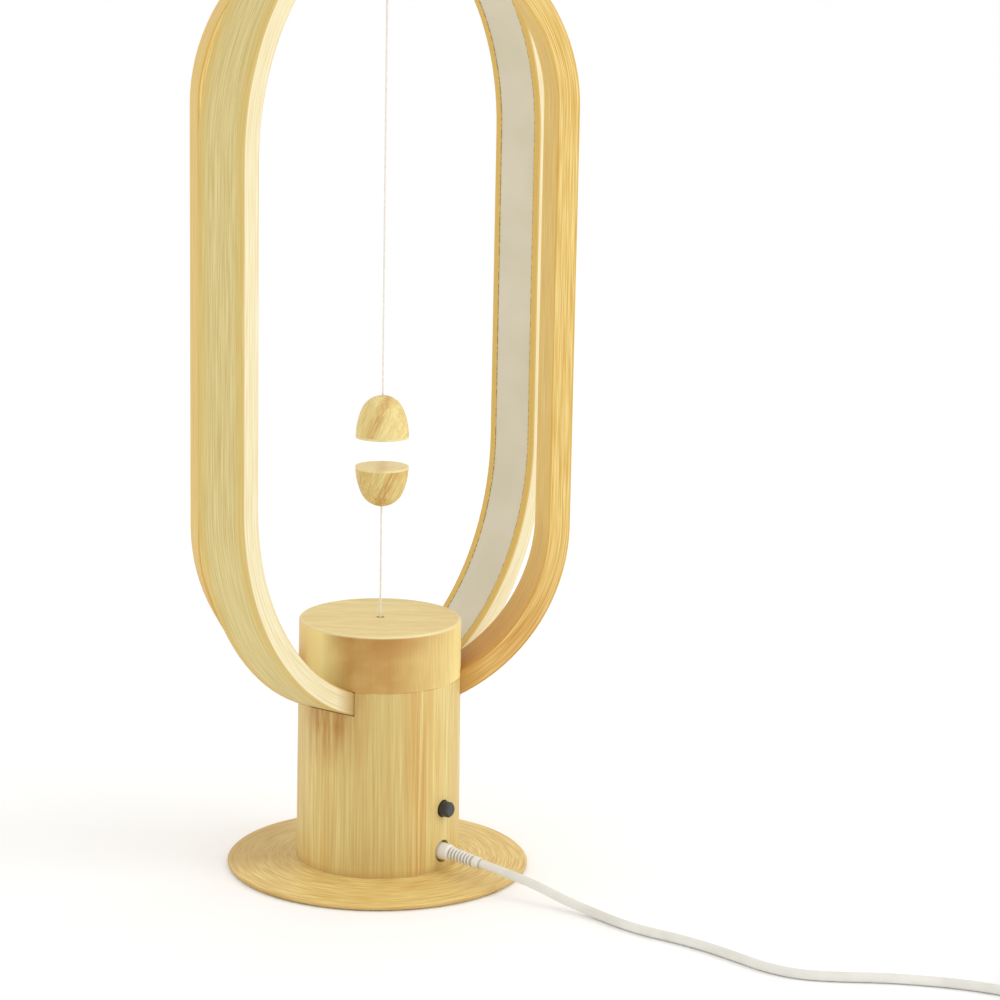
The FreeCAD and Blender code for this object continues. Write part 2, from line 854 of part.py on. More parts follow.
def plug_boot():
    radius = plug_head_diameter / 2
    head = spun(
        [
            (0, 0),
            (radius, 0),
            (radius, plug_head_length - plug_head_bevel),
            (radius - plug_head_bevel, plug_head_length),
            (0, plug_head_length),
        ]
    )
    head = aimed(head, head_start, V(0, -1, 0))
    tail = (plug_tail_diameter / 2, plug_tail_length)
    start_r, end_r = radius - plug_neck_step, tail[0] + plug_neck_step
    profile = ribbed_profile(
        start_r, end_r, plug_neck_length, plug_rib_count, plug_rib_pitch, plug_rib_depth, tail
    )
    sleeve = aimed(spun(profile), boot_start, boot_direction)
    return head.fuse(sleeve).removeSplitter()


# Wires inside the body

board_top_z = foot_z + board_lift + board_height
wire_y = (board_front_y + board_back_y) / 2


def switch_wires():
    z_upper = pull_floor_z + seat_clearance + leaf_thickness / 2
    z_lower = pull_low_z - leaf_thickness / 2
    shapes = []
    for x, z in ((-3.2, z_upper), (-5.4, z_lower)):
        across = x / 2
        points = [
            V(x, wire_y, board_top_z),
            V(x, wire_y, board_top_z + 15),
            V(x, wire_y - 0.4, z - 6),
            V(across, wire_y - 0.2, z),
            V(0.2 * x, -leaf_reach - 2, z),
            V(0.2 * x, -leaf_reach, z),
        ]
        shapes.append(bent_tube(points, wire_diameter / 2 - 0.2, "switch wire"))
    return Part.makeCompound(shapes)


def led_wires():
    # Up beside the hoops, over the light hoop and down into its groove.
    end_x = diffuser_end_x + 1.2
    strip_top_z = led_low_z - math.sqrt((strip_half() - strip_thickness) ** 2 - end_x**2)
    rise_z = seam_z + 2
    points = [
        V(-9, wire_y, board_top_z),
        V(-9, wire_y, board_top_z + 16),
        V(-9.2, wire_y - 0.3, rise_z - 8),
        V(-12.5, -10, rise_z + 1),
        V(-18.5, -3, rise_z - 0.6),
        V(-23.6, -0.2, seam_z - 1.1),
        V(-end_x, 0, strip_top_z + wire_diameter / 2 + 0.25),
    ]
    return bent_tube(points, wire_diameter / 2, "light wire")


# Power lead

coil_end_lead = cord_diameter * 1.5


def coil_point(turns):
    # The spiral runs in and out at a steady rate and climbs one layer in the
    # half turn round each reversal.
    phase = turns % (2 * coil_turns_per_layer)
    if phase > coil_turns_per_layer:
        phase = 2 * coil_turns_per_layer - phase
    r = coil_outer_radius - coil_pitch * phase
    layer = 0
    for reversal in range(1, coil_layers):
        middle = reversal * coil_turns_per_layer
        share = min(max((turns - middle) / 0.5 + 0.5, 0), 1)
        layer += share
    angle = math.pi + 2 * math.pi * turns
    x = coil_center_x + r * math.cos(angle)
    y = coil_center_y + r * math.sin(angle)
    return V(x, y, cord_table_z + coil_pitch * layer)


def coil_path():
    total = coil_turns_per_layer * coil_layers
    steps = int(round(total * 4))
    knots = [coil_point(step / 4) for step in range(steps + 1)]
    tangents = []
    for step in range(steps + 1):
        turns = step / 4
        before = coil_point(max(turns - 0.01, 0))
        after = coil_point(min(turns + 0.01, total))
        tangents.append(after - before)
    for step, tangent in enumerate(tangents):
        layer_before = knots[max(step - 1, 0)].z
        layer_after = knots[min(step + 1, steps)].z
        if abs(layer_after - layer_before) < 1.5 * coil_pitch / 2:
            tangent.z = 0
        tangent.normalize()
    tangents[0] = V(0, -1, 0)
    tangents[-1] = V(0, -1, 0)
    start = knots[0] + V(0, coil_end_lead, 0)
    end = knots[-1] - V(0, coil_end_lead, 0)
    edges = [Part.LineSegment(start, knots[0]).toShape()]
    for step in range(steps):
        edges += biarc(knots[step], tangents[step], knots[step + 1], tangents[step + 1])
    edges.append(Part.LineSegment(knots[-1], end).toShape())
    return edges, start, end


coil_edges, coil_start, coil_end = coil_path()


def cord_coil():
    path = Part.Wire(coil_edges)
    solid = tube(path, cord_radius, coil_start, V(0, -1, 0))
    samples = []
    run = 0
    for edge in coil_edges:
        count = max(int(edge.Length / 1.5), 2)
        for index in range(count):
            share = (index + 0.5) / count
            first, last = edge.FirstParameter, edge.LastParameter
            point = edge.valueAt(first + (last - first) * share)
            samples.append((run + edge.Length * share, point))
        run += edge.Length
    near = 4 * cord_diameter
    least = min(
        (p - q).Length
        for i, (s, p) in enumerate(samples)
        for t, q in samples[i + 1 :]
        if t - s > near
    )
    expected = section_area(cord_radius) * run
    print("coil length", round(run, 1), "least gap to itself", round(least - cord_diameter, 3))
    print("coil volume over section times length", round(solid.Volume / expected, 4))
    return solid


def cord_points():
    # Out of the plug, down to the table and along it to the coil.
    z = cord_table_z
    first = cord_start + boot_direction * 8
    return [
        cord_start,
        first,
        V(0.2, -69, 6.4),
        V(0, -83, 3.3),
        V(-0.8, -96, z + 0.1),
        V(-3.4, -107, z),
        V(-4.9, -119, z),
        V(-4.0, -131, z),
        V(-4.6, -144, z),
        V(-6.6, -157, z),
        V(-9.0, -170, z),
        V(-7.6, -182, z),
        V(-1.4, -193, z),
        V(6.5, -204, z),
        V(13.5, -217, z),
        V(19.2, -231, z),
        V(coil_start.x - 0.1, -247, z),
        V(coil_start.x, coil_start.y + 8, z),
        coil_start,
    ]


usb_z = overmould_height / 2 + cord_lift
tail_end = V(coil_end.x - 6.4, coil_end.y - 66, usb_z)


def tail_points():
    # Down from the top layer of the coil to the plug on the table.
    top = coil_end.z
    return [
        coil_end,
        coil_end + V(0, -9, 0),
        V(coil_end.x - 1.2, coil_end.y - 21, top - 1.6),
        V(coil_end.x - 3.6, coil_end.y - 34, top - 5.8),
        V(coil_end.x - 5.6, coil_end.y - 47, usb_z + 0.9),
        V(tail_end.x, tail_end.y + 9, usb_z),
        tail_end,
    ]


def usb_overmould():
    # A soft-cornered grip with a ribbed sleeve where the cord goes in.
    tail_r = plug_tail_diameter / 2
    start_r = usb_boot_diameter / 2
    cone = usb_boot_length - usb_neck_length - usb_rib_count * usb_rib_pitch
    tail = (tail_r, cone)
    end_r = tail_r + plug_neck_step
    profile = ribbed_profile(
        start_r, end_r, usb_neck_length, usb_rib_count, usb_rib_pitch, plug_rib_depth, tail
    )
    face = tail_end + V(0, -usb_boot_length, 0)
    sleeve = aimed(spun(profile), face, V(0, 1, 0))
    half_x, half_z = overmould_width / 2, overmould_height / 2
    x, y, z = face.x, face.y, face.z
    grip = box(x - half_x, x + half_x, y - overmould_length, y, z - half_z, z + half_z)
    long_edges = [e for e in grip.Edges if abs(e.BoundBox.YLength - overmould_length) < 0.01]
    grip = grip.makeFillet(overmould_round, long_edges)
    return grip.fuse(sleeve).removeSplitter()


shell_face = tail_end + V(0, -usb_boot_length - overmould_length, 0)


def usb_shell():
    half_x, half_z = usb_shell_width / 2, usb_shell_height / 2
    x, y, z = shell_face.x, shell_face.y, shell_face.z
    wall = usb_shell_wall
    far = y - usb_shell_length
    outer = box(x - half_x, x + half_x, far, y, z - half_z, z + half_z)
    inner = box(x - half_x + wall, x + half_x - wall, far - 1, y + 1, z - half_z + wall, z + half_z - wall)
    shape = outer.cut(inner)
    near, half_window = far + usb_window_inset, usb_window_width / 2
    for mid in (x - usb_window_spread / 2, x + usb_window_spread / 2):
        low, high = mid - half_window, mid + half_window
        shape = shape.cut(box(low, high, near, near + usb_window_length, z, z + half_z + 1))
    return shape


def usb_tongue():
    half_x = usb_shell_width / 2 - usb_shell_wall - seat_clearance
    x, y, z = shell_face.x, shell_face.y, shell_face.z
    low = z - usb_shell_height / 2 + usb_shell_wall + seat_clearance
    return box(x - half_x, x + half_x, y - usb_tongue_length, y, low, low + usb_tongue_thickness)


def write(name, shape):
    solids = shape.Solids
    if not solids or not shape.isValid():
        raise ValueError(name + " is not a valid solid")
    if len(solids) == 1:
        shape = solids[0]
    shape.exportStep("parts/" + name + ".step")


def main():
    os.makedirs("parts", exist_ok=True)
    upper_egg, upper_cover, upper_magnet = upper_egg_set()
    lower_egg, lower_cover, lower_magnet = lower_egg_set()
    pieces = {
        "base_disc": base_disc(),
        "felt_pad": felt_pad(),
        "disc_screws": disc_screw_set(False),
        "ballast": ballast(),
        "ballast_screw": ballast_screw(False),
        "base_cylinder": base_cylinder(),
        "base_cap": base_cap(),
        "cap_dowels": dowels(0),
        "led_hoop": led_hoop(),
        "cross_hoop": cross_hoop(),
        "led_strip": led_strip(),
        "led_chips": led_chips(),
        "diffuser": diffuser(),
        "upper_egg": upper_egg,
        "upper_egg_cover": upper_cover,
        "upper_magnet": upper_magnet,
        "upper_string": upper_string(),
        "upper_crimp_bead": bead(upper_bead_diameter, upper_pivot_z),
        "lower_egg": lower_egg,
        "lower_egg_cover": lower_cover,
        "lower_magnet": lower_magnet,
        "lower_string": lower_string(),
        "lower_crimp_bead": bead(lower_bead_diameter, lower_pivot_z),
        "pull_housing": pull_housing(),
        "pull_plunger": pull_plunger(),
        "pull_spring": pull_spring(),
        "contact_leaves": contact_leaves(),
        "pull_screws": ear_screw_set(False),
        "switch_wires": switch_wires(),
        "control_board": control_board(),
        "board_spacers": board_spacers(),
        "board_screws": board_screw_set(False),
        "power_switch_body": power_switch_body(),
        "switch_stem": switch_stem(),
        "button_cap": button_cap(),
        "dc_jack": dc_jack(),
        "led_wires": led_wires(),
        "plug_barrel": plug_barrel(),
        "plug_boot": plug_boot(),
        "cord": bent_tube(cord_points(), cord_radius, "cord"),
        "cord_coil": cord_coil(),
        "cord_tail": bent_tube(tail_points(), cord_radius, "cord tail"),
        "usb_overmould": usb_overmould(),
        "usb_shell": usb_shell(),
        "usb_tongue": usb_tongue(),
    }
    for name, shape in pieces.items():
        write(name, shape)
    print(len(pieces), "pieces written")


main()
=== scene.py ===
# %% [markdown]
# A table lamp of laminated bamboo. Two hoops cross in a turned body on a thin
# disc, and two magnet eggs on strings pull towards each other in the middle.
# The rigid pieces come ready from the construction model, so this script only
# loads them. It adds what a render needs: the camera, the soft lead and its
# grip, the strings, the finishes and the light.
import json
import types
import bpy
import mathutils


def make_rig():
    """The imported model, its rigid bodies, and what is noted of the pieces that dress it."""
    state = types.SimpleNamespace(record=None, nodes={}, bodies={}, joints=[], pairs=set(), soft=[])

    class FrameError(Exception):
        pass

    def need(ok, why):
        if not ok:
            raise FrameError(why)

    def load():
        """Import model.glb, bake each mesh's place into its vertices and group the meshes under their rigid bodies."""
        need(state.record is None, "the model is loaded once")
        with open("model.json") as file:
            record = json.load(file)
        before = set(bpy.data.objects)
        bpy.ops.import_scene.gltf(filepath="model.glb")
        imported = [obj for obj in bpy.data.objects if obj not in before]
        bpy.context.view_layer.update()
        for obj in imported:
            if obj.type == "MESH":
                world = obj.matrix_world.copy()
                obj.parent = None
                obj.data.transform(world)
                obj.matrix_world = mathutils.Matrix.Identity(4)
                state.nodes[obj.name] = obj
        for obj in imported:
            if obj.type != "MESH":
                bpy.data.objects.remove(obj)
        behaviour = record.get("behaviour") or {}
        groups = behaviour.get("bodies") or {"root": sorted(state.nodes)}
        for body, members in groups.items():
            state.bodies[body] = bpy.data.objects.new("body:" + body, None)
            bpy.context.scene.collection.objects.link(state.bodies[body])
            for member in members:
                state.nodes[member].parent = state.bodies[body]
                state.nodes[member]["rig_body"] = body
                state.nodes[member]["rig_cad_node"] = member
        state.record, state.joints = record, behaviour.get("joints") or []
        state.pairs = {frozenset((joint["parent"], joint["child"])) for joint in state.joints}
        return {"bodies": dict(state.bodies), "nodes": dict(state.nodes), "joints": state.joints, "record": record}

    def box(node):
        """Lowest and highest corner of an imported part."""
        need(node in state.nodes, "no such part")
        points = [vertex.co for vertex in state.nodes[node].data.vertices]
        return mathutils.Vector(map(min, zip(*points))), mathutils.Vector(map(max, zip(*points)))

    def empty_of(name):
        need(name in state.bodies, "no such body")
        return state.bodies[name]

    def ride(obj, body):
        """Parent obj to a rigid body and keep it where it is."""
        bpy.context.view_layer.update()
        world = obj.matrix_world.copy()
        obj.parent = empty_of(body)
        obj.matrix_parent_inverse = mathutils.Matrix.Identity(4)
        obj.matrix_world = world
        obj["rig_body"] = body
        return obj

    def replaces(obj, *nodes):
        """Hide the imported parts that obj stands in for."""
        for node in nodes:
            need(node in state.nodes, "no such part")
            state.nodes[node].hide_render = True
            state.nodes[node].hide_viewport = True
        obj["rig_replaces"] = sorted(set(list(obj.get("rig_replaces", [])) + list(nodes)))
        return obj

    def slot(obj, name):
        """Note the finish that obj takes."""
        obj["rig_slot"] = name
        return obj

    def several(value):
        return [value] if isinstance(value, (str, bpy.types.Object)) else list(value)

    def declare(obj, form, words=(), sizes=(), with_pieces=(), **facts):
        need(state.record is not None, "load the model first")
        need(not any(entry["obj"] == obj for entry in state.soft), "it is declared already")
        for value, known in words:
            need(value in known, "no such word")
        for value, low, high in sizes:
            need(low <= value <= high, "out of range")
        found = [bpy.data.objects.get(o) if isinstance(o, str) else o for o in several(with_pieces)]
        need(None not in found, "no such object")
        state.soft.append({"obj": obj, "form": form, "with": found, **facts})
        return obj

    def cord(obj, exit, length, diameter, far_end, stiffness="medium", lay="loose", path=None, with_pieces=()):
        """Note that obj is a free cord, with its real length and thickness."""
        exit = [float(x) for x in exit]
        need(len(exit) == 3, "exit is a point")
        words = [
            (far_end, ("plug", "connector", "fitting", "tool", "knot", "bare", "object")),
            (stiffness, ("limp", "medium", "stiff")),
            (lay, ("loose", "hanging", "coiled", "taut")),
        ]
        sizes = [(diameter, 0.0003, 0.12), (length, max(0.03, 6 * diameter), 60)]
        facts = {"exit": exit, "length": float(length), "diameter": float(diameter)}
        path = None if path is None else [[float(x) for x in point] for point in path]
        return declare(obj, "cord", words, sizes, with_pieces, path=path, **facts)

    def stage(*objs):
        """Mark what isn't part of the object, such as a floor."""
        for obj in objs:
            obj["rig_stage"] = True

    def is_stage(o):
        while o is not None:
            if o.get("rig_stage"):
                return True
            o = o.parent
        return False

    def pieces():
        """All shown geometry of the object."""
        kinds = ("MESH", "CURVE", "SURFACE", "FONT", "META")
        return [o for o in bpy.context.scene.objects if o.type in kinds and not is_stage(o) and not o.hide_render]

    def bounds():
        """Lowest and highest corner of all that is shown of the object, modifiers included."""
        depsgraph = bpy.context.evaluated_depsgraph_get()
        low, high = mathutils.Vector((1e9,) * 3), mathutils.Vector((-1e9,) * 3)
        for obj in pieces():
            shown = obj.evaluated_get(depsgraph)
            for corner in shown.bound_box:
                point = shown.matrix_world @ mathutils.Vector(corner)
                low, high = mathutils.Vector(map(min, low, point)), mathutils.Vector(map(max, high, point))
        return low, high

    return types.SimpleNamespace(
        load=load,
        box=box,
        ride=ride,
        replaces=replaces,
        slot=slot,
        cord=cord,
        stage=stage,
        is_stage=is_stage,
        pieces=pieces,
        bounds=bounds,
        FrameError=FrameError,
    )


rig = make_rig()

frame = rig.load()
cad_low, cad_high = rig.bounds()

import json
import math

import bpy
from mathutils import Matrix, Vector

MM = 0.001
nodes = frame["nodes"]
scene = bpy.context.scene
print("nodes", len(nodes), "box", [round(v, 3) for v in (*cad_low, *cad_high)])

# %% [markdown]
# The camera comes first, because the lead has to leave its view the right way.
# A camera can be placed by eye, but this one was worked out from the outline
# of the body and the hoops, which gives a long lens, a low view from the left
# of the button side and a small roll.

# %% Camera
CAMERA_PLACE = (-0.82398, -0.63672, 0.35360)
CAMERA_AZIMUTH = math.radians(-54.6245)
CAMERA_PITCH = math.radians(11.8290)
CAMERA_ROLL = math.radians(-1.1304)
CAMERA_LENS = 107.523
SENSOR = 36.0

back = Vector((
    math.sin(CAMERA_AZIMUTH) * math.cos(CAMERA_PITCH),
    -math.cos(CAMERA_AZIMUTH) * math.cos(CAMERA_PITCH),
    math.sin(CAMERA_PITCH),
))
right = Vector((math.cos(CAMERA_AZIMUTH), math.sin(CAMERA_AZIMUTH), 0))
up = back.cross(right)
rolled_right = right * math.cos(CAMERA_ROLL) - up * math.sin(CAMERA_ROLL)
rolled_up = right * math.sin(CAMERA_ROLL) + up * math.cos(CAMERA_ROLL)
camera = bpy.data.objects.new("camera", bpy.data.cameras.new("camera"))
camera.data.lens = CAMERA_LENS
camera.data.sensor_width = SENSOR
turn = Matrix((rolled_right, rolled_up, back)).transposed().to_4x4()
camera.matrix_world = Matrix.Translation(CAMERA_PLACE) @ turn
scene.collection.objects.link(camera)
scene.camera = camera
scene.view_settings.view_transform = "Standard"
print("camera looks along", [round(v, 3) for v in -back])

# %% [markdown]
# A power lead is a fixed length of soft tube. It could be a mesh swept along
# a path, but a curve object with a round bevel stays smooth and can be
# measured. A NURBS curve of order 3 never kinks: it glides past its points
# and cuts inside them a little. The part of the lead beyond the picture is
# wound into a small coil of four layers and ends in its plug.

# %% Lead
LEAD_DIAMETER = 3.3
LEAD_LENGTH = 1.394
TABLE_HEIGHT = 1.75
COIL_CENTER = (46.0, -270.0)
COIL_RADIUS = 23.6
COIL_PITCH = 3.85
COIL_TURNS_PER_LAYER = 2.25
COIL_LAYERS = 4
COIL_POINTS_PER_TURN = 16
COIL_RISE_TURNS = 0.5
CURVE_STEPS = 6
CURVE_ROUNDNESS = 5
LEAD_EXIT = (0.0, -46.744, 8.910)

down_to_coil = [
    LEAD_EXIT,
    (0, -54.714, 8.213),
    (0.2, -69, 6.4),
    (0, -83, 3.3),
    (-0.8, -96, 1.85),
    (-3.4, -107, TABLE_HEIGHT),
    (-4.9, -119, TABLE_HEIGHT),
    (-4.0, -131, TABLE_HEIGHT),
    (-4.6, -144, TABLE_HEIGHT),
    (-6.6, -157, TABLE_HEIGHT),
    (-9.0, -170, TABLE_HEIGHT),
    (-7.6, -182, TABLE_HEIGHT),
    (-1.4, -193, TABLE_HEIGHT),
    (6.5, -204, TABLE_HEIGHT),
    (13.5, -217, TABLE_HEIGHT),
    (19.2, -231, TABLE_HEIGHT),
    (22.3, -247, TABLE_HEIGHT),
    (22.4, -257, TABLE_HEIGHT),
]
down_from_coil = [
    (22.4, -283.95, 13.3),
    (21.2, -295.95, 11.7),
    (18.8, -308.95, 7.5),
    (16.8, -321.95, 4.8),
    (16.0, -331.95, 3.9),
    (16.0, -340.95, 3.9),
]


def coil_points():
    """Turns that spiral in and out, one layer higher after each reversal."""
    total = COIL_TURNS_PER_LAYER * COIL_LAYERS
    # The curve only touches the straights between its points, so they stand further out.
    reach = 1 / math.cos(math.pi / COIL_POINTS_PER_TURN)
    made = []
    for step in range(int(total * COIL_POINTS_PER_TURN) + 1):
        turns = step / COIL_POINTS_PER_TURN
        phase = turns % (2 * COIL_TURNS_PER_LAYER)
        if phase > COIL_TURNS_PER_LAYER:
            phase = 2 * COIL_TURNS_PER_LAYER - phase
        radius = (COIL_RADIUS - COIL_PITCH * phase) * reach
        layer = sum(
            min(max((turns - n * COIL_TURNS_PER_LAYER) / COIL_RISE_TURNS + 0.5, 0), 1)
            for n in range(1, COIL_LAYERS)
        )
        angle = math.pi + 2 * math.pi * turns
        made.append((
            COIL_CENTER[0] + radius * math.cos(angle),
            COIL_CENTER[1] + radius * math.sin(angle),
            TABLE_HEIGHT + COIL_PITCH * layer,
        ))
    return made


def curve_through(name, points, diameter):
    """A smooth round tube whose NURBS points are given in millimetres."""
    curve = bpy.data.curves.new(name, "CURVE")
    curve.dimensions = "3D"
    spline = curve.splines.new("NURBS")
    spline.points.add(len(points) - 1)
    for knot, point in zip(spline.points, points):
        knot.co = (*(v * MM for v in point), 1)
        knot.radius = diameter / 2 * MM
    spline.order_u = 3
    spline.use_endpoint_u = True
    spline.resolution_u = CURVE_STEPS
    curve.bevel_depth = 1.0
    curve.bevel_resolution = CURVE_ROUNDNESS
    curve.use_fill_caps = True
    piece = bpy.data.objects.new(name, curve)
    scene.collection.objects.link(piece)
    return piece


# %% [markdown]
# The soft grip of the small plug is moulded in one with a collar and a row of
# rings, which let it bend without a kink. The construction model has plain
# saw-tooth ribs. The eye catches the dark gaps between rounded rings, so this
# piece is turned afresh from a formula: the radius at each place along it.

# %% Plug grip
GRIP_PLACE = (0.0, -23.0, 10.2)
COLLAR_RADIUS = 3.35
COLLAR_TAPER = 0.04
COLLAR_LENGTH = 10.2
COLLAR_ROUND = 0.9
SLEEVE_START = 9.0
SLEEVE_LENGTH = 14.8
SLEEVE_DROOP = math.radians(5)
RING_COUNT = 7
FIRST_RING = 2.0
RING_PITCH = 1.35
RING_HALF_WIDTH = 0.37
FIRST_RING_RADIUS = 2.45
LAST_RING_RADIUS = 2.2
SLOT_RADIUS = 1.66
END_RING = 12.75
END_RING_HALF_WIDTH = 1.5
END_RING_RADIUS = 2.1
GRIP_SIDES = 40
GRIP_STEP = 0.07


def collar_radius(run):
    into_round = max(run - (COLLAR_LENGTH - COLLAR_ROUND), 0)
    rounding = COLLAR_ROUND - math.sqrt(max(COLLAR_ROUND**2 - into_round**2, 0))
    return COLLAR_RADIUS - COLLAR_TAPER * run - rounding


def bulge(run, middle, half_width, size):
    """A ring with a flat back and rounded shoulders, sunk to the slots beside it."""
    off = min(abs(run - middle) / half_width, 1)
    return SLOT_RADIUS + (size - SLOT_RADIUS) * (1 - off**4) ** 0.5


def sleeve_radius(run):
    """Seven rings that grow smaller, then one long end ring."""
    index = min(max(round((run - FIRST_RING) / RING_PITCH), 0), RING_COUNT - 1)
    size = FIRST_RING_RADIUS + (LAST_RING_RADIUS - FIRST_RING_RADIUS) * index / (RING_COUNT - 1)
    ring = bulge(run, FIRST_RING + index * RING_PITCH, RING_HALF_WIDTH, size)
    return max(ring, bulge(run, END_RING, END_RING_HALF_WIDTH, END_RING_RADIUS))


def turned_along(verts, faces, start, direction, length, radius_at):
    """Adds the rings of vertices of one turned form and closes its ends."""
    side = Vector((1, 0, 0))
    other = direction.cross(side)
    base = len(verts)
    count = round(length / GRIP_STEP)
    for step in range(count + 1):
        run = length * step / count
        middle = Vector(start) + direction * run
        for n in range(GRIP_SIDES):
            angle = 2 * math.pi * n / GRIP_SIDES
            outward = side * math.cos(angle) + other * math.sin(angle)
            verts.append((middle + outward * radius_at(run)) * MM)
    for step in range(count):
        for n in range(GRIP_SIDES):
            a = base + step * GRIP_SIDES + n
            b = base + step * GRIP_SIDES + (n + 1) % GRIP_SIDES
            faces.append((a, a + GRIP_SIDES, b + GRIP_SIDES, b))
    faces.append([base + n for n in range(GRIP_SIDES)])
    faces.append([base + count * GRIP_SIDES + n for n in reversed(range(GRIP_SIDES))])


def mesh_piece(name, verts, faces):
    """A new smooth piece from its corners and faces, in metres."""
    mesh = bpy.data.meshes.new(name)
    mesh.from_pydata(verts, [], faces)
    mesh.shade_smooth()
    piece = bpy.data.objects.new(name, mesh)
    scene.collection.objects.link(piece)
    return piece


grip_verts, grip_faces = [], []
turned_along(grip_verts, grip_faces, GRIP_PLACE, Vector((0, -1, 0)), COLLAR_LENGTH, collar_radius)
sleeve_place = Vector(GRIP_PLACE) - Vector((0, SLEEVE_START, 0))
sleeve_direction = Vector((0, -math.cos(SLEEVE_DROOP), -math.sin(SLEEVE_DROOP)))
turned_along(grip_verts, grip_faces, sleeve_place, sleeve_direction, SLEEVE_LENGTH, sleeve_radius)
plug_grip = mesh_piece("plug_grip", grip_verts, grip_faces)
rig.ride(plug_grip, "stand")
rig.replaces(plug_grip, "plug_boot")
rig.slot(plug_grip, "lead")
print("plug grip", len(grip_verts), "vertices")

# %% Lead on the table
lead = curve_through("power_lead", down_to_coil + coil_points() + down_from_coil, LEAD_DIAMETER)
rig.ride(lead, "stand")
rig.replaces(lead, "cord", "cord_coil", "cord_tail")
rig.slot(lead, "lead")
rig.cord(
    lead,
    exit=[v * MM for v in LEAD_EXIT],
    length=LEAD_LENGTH,
    diameter=LEAD_DIAMETER * MM,
    far_end="plug",
    stiffness="medium",
    lay="coiled",
    with_pieces=[plug_grip, *(nodes[n] for n in ("plug_barrel", "usb_overmould", "usb_shell", "usb_tongue"))],
)
print("lead points", len(lead.data.splines[0].points))

# %% [markdown]
# Each egg is tied to a thin twisted string, one from above and one from below.
# A plain cylinder would do from far away, but three strands wound round each
# other catch the light unevenly, as the real string does. The strands are
# swept as one mesh along the string.

# %% Strings
STRING_DIAMETER = 0.8
STRAND_COUNT = 3
STRAND_RADIUS = 0.215
STRAND_OFFSET = STRING_DIAMETER / 2 - STRAND_RADIUS
STRING_LAY = 3.2
STRAND_SIDES = 6
STRING_STEP = 0.4
STRING_PATH_STEPS = 40


def twisted_string(name, node, body):
    """Three strands round the axis of the node's own string."""
    low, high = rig.box(node)
    bottom, top = low[2] / MM, high[2] / MM
    count = max(int((top - bottom) / STRING_STEP), 2)
    verts, faces = [], []
    for strand in range(STRAND_COUNT):
        base = len(verts)
        for step in range(count + 1):
            z = bottom + (top - bottom) * step / count
            angle = 2 * math.pi * (z / STRING_LAY + strand / STRAND_COUNT)
            x, y = STRAND_OFFSET * math.cos(angle), STRAND_OFFSET * math.sin(angle)
            for side in range(STRAND_SIDES):
                around = 2 * math.pi * side / STRAND_SIDES
                verts.append((
                    (x + STRAND_RADIUS * math.cos(around)) * MM,
                    (y + STRAND_RADIUS * math.sin(around)) * MM,
                    z * MM,
                ))
        for step in range(count):
            for side in range(STRAND_SIDES):
                a = base + step * STRAND_SIDES + side
                b = base + step * STRAND_SIDES + (side + 1) % STRAND_SIDES
                faces.append((a, b, b + STRAND_SIDES, a + STRAND_SIDES))
        faces.append([base + side for side in reversed(range(STRAND_SIDES))])
        faces.append([base + count * STRAND_SIDES + side for side in range(STRAND_SIDES)])
    piece = mesh_piece(name, verts, faces)
    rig.ride(piece, body)
    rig.replaces(piece, node)
    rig.slot(piece, "string")
    places = [n / STRING_PATH_STEPS for n in range(STRING_PATH_STEPS + 1)]
    path = [(0, 0, (bottom + (top - bottom) * place) * MM) for place in places]
    start = path[-1] if body == "upper_drop" else path[0]
    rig.cord(
        piece,
        exit=start,
        length=(top - bottom) * MM,
        diameter=STRING_DIAMETER * MM,
        far_end="object",
        stiffness="limp",
        lay="taut",
        path=path if body != "upper_drop" else path[::-1],
    )
    print(name, "length in mm", round(top - bottom, 1))
    return piece


upper_twist = twisted_string("upper_string_strands", "upper_string", "upper_drop")
lower_twist = twisted_string("lower_string_strands", "lower_string", "lower_drop")

# %% [markdown]
# Every finish below is a small network of nodes. One helper adds a node with
# its settings and its links, and one turns a colour that is written as an
# sRGB hex value into the linear numbers that a shader works with. The others
# start a material, give it colour and relief, and put it on pieces. MapRange
# nodes do most of the work: each takes a value, where it starts and ends, and
# the results there, which are 0 and 1 where none are given.

# %% Helpers for finishes
RELIEF_STRENGTH = 0.5


def linear(code):
    """The linear values of an sRGB colour."""
    values = [int(code[i:i + 2], 16) / 255 for i in (0, 2, 4)]
    return [*(v / 12.92 if v <= 0.04045 else ((v + 0.055) / 1.055) ** 2.4 for v in values), 1]


def add(tree, kind, *inputs, output=None, **settings):
    """Adds a node, fills its sockets in order with values or links, gives one output."""
    node = tree.nodes.new("ShaderNode" + kind)
    for name, value in settings.items():
        setattr(node, name, value)
    for socket, value in zip([s for s in node.inputs if s.enabled], inputs):
        if isinstance(value, bpy.types.NodeSocket):
            tree.links.new(value, socket)
        else:
            socket.default_value = linear(value) if isinstance(value, str) else value
    return node.outputs[output] if output else next(s for s in node.outputs if s.enabled)


def start_finish(name, roughness, **values):
    """A material whose constant values sit on the shader's own sockets."""
    material = bpy.data.materials.new(name)
    material.use_nodes = True
    shader = material.node_tree.nodes["Principled BSDF"]
    shader.inputs["Roughness"].default_value = roughness
    for socket, value in values.items():
        shader.inputs[socket.replace("_", " ")].default_value = value
    return material.node_tree, shader


def surface(tree, shader, colour, height, depth_mm):
    """Gives the shader its colour and a relief with that depth."""
    tree.links.new(colour, shader.inputs["Base Color"])
    bump = add(tree, "Bump", RELIEF_STRENGTH, depth_mm * MM)
    tree.links.new(height, bump.node.inputs["Height"])
    tree.links.new(bump, shader.inputs["Normal"])


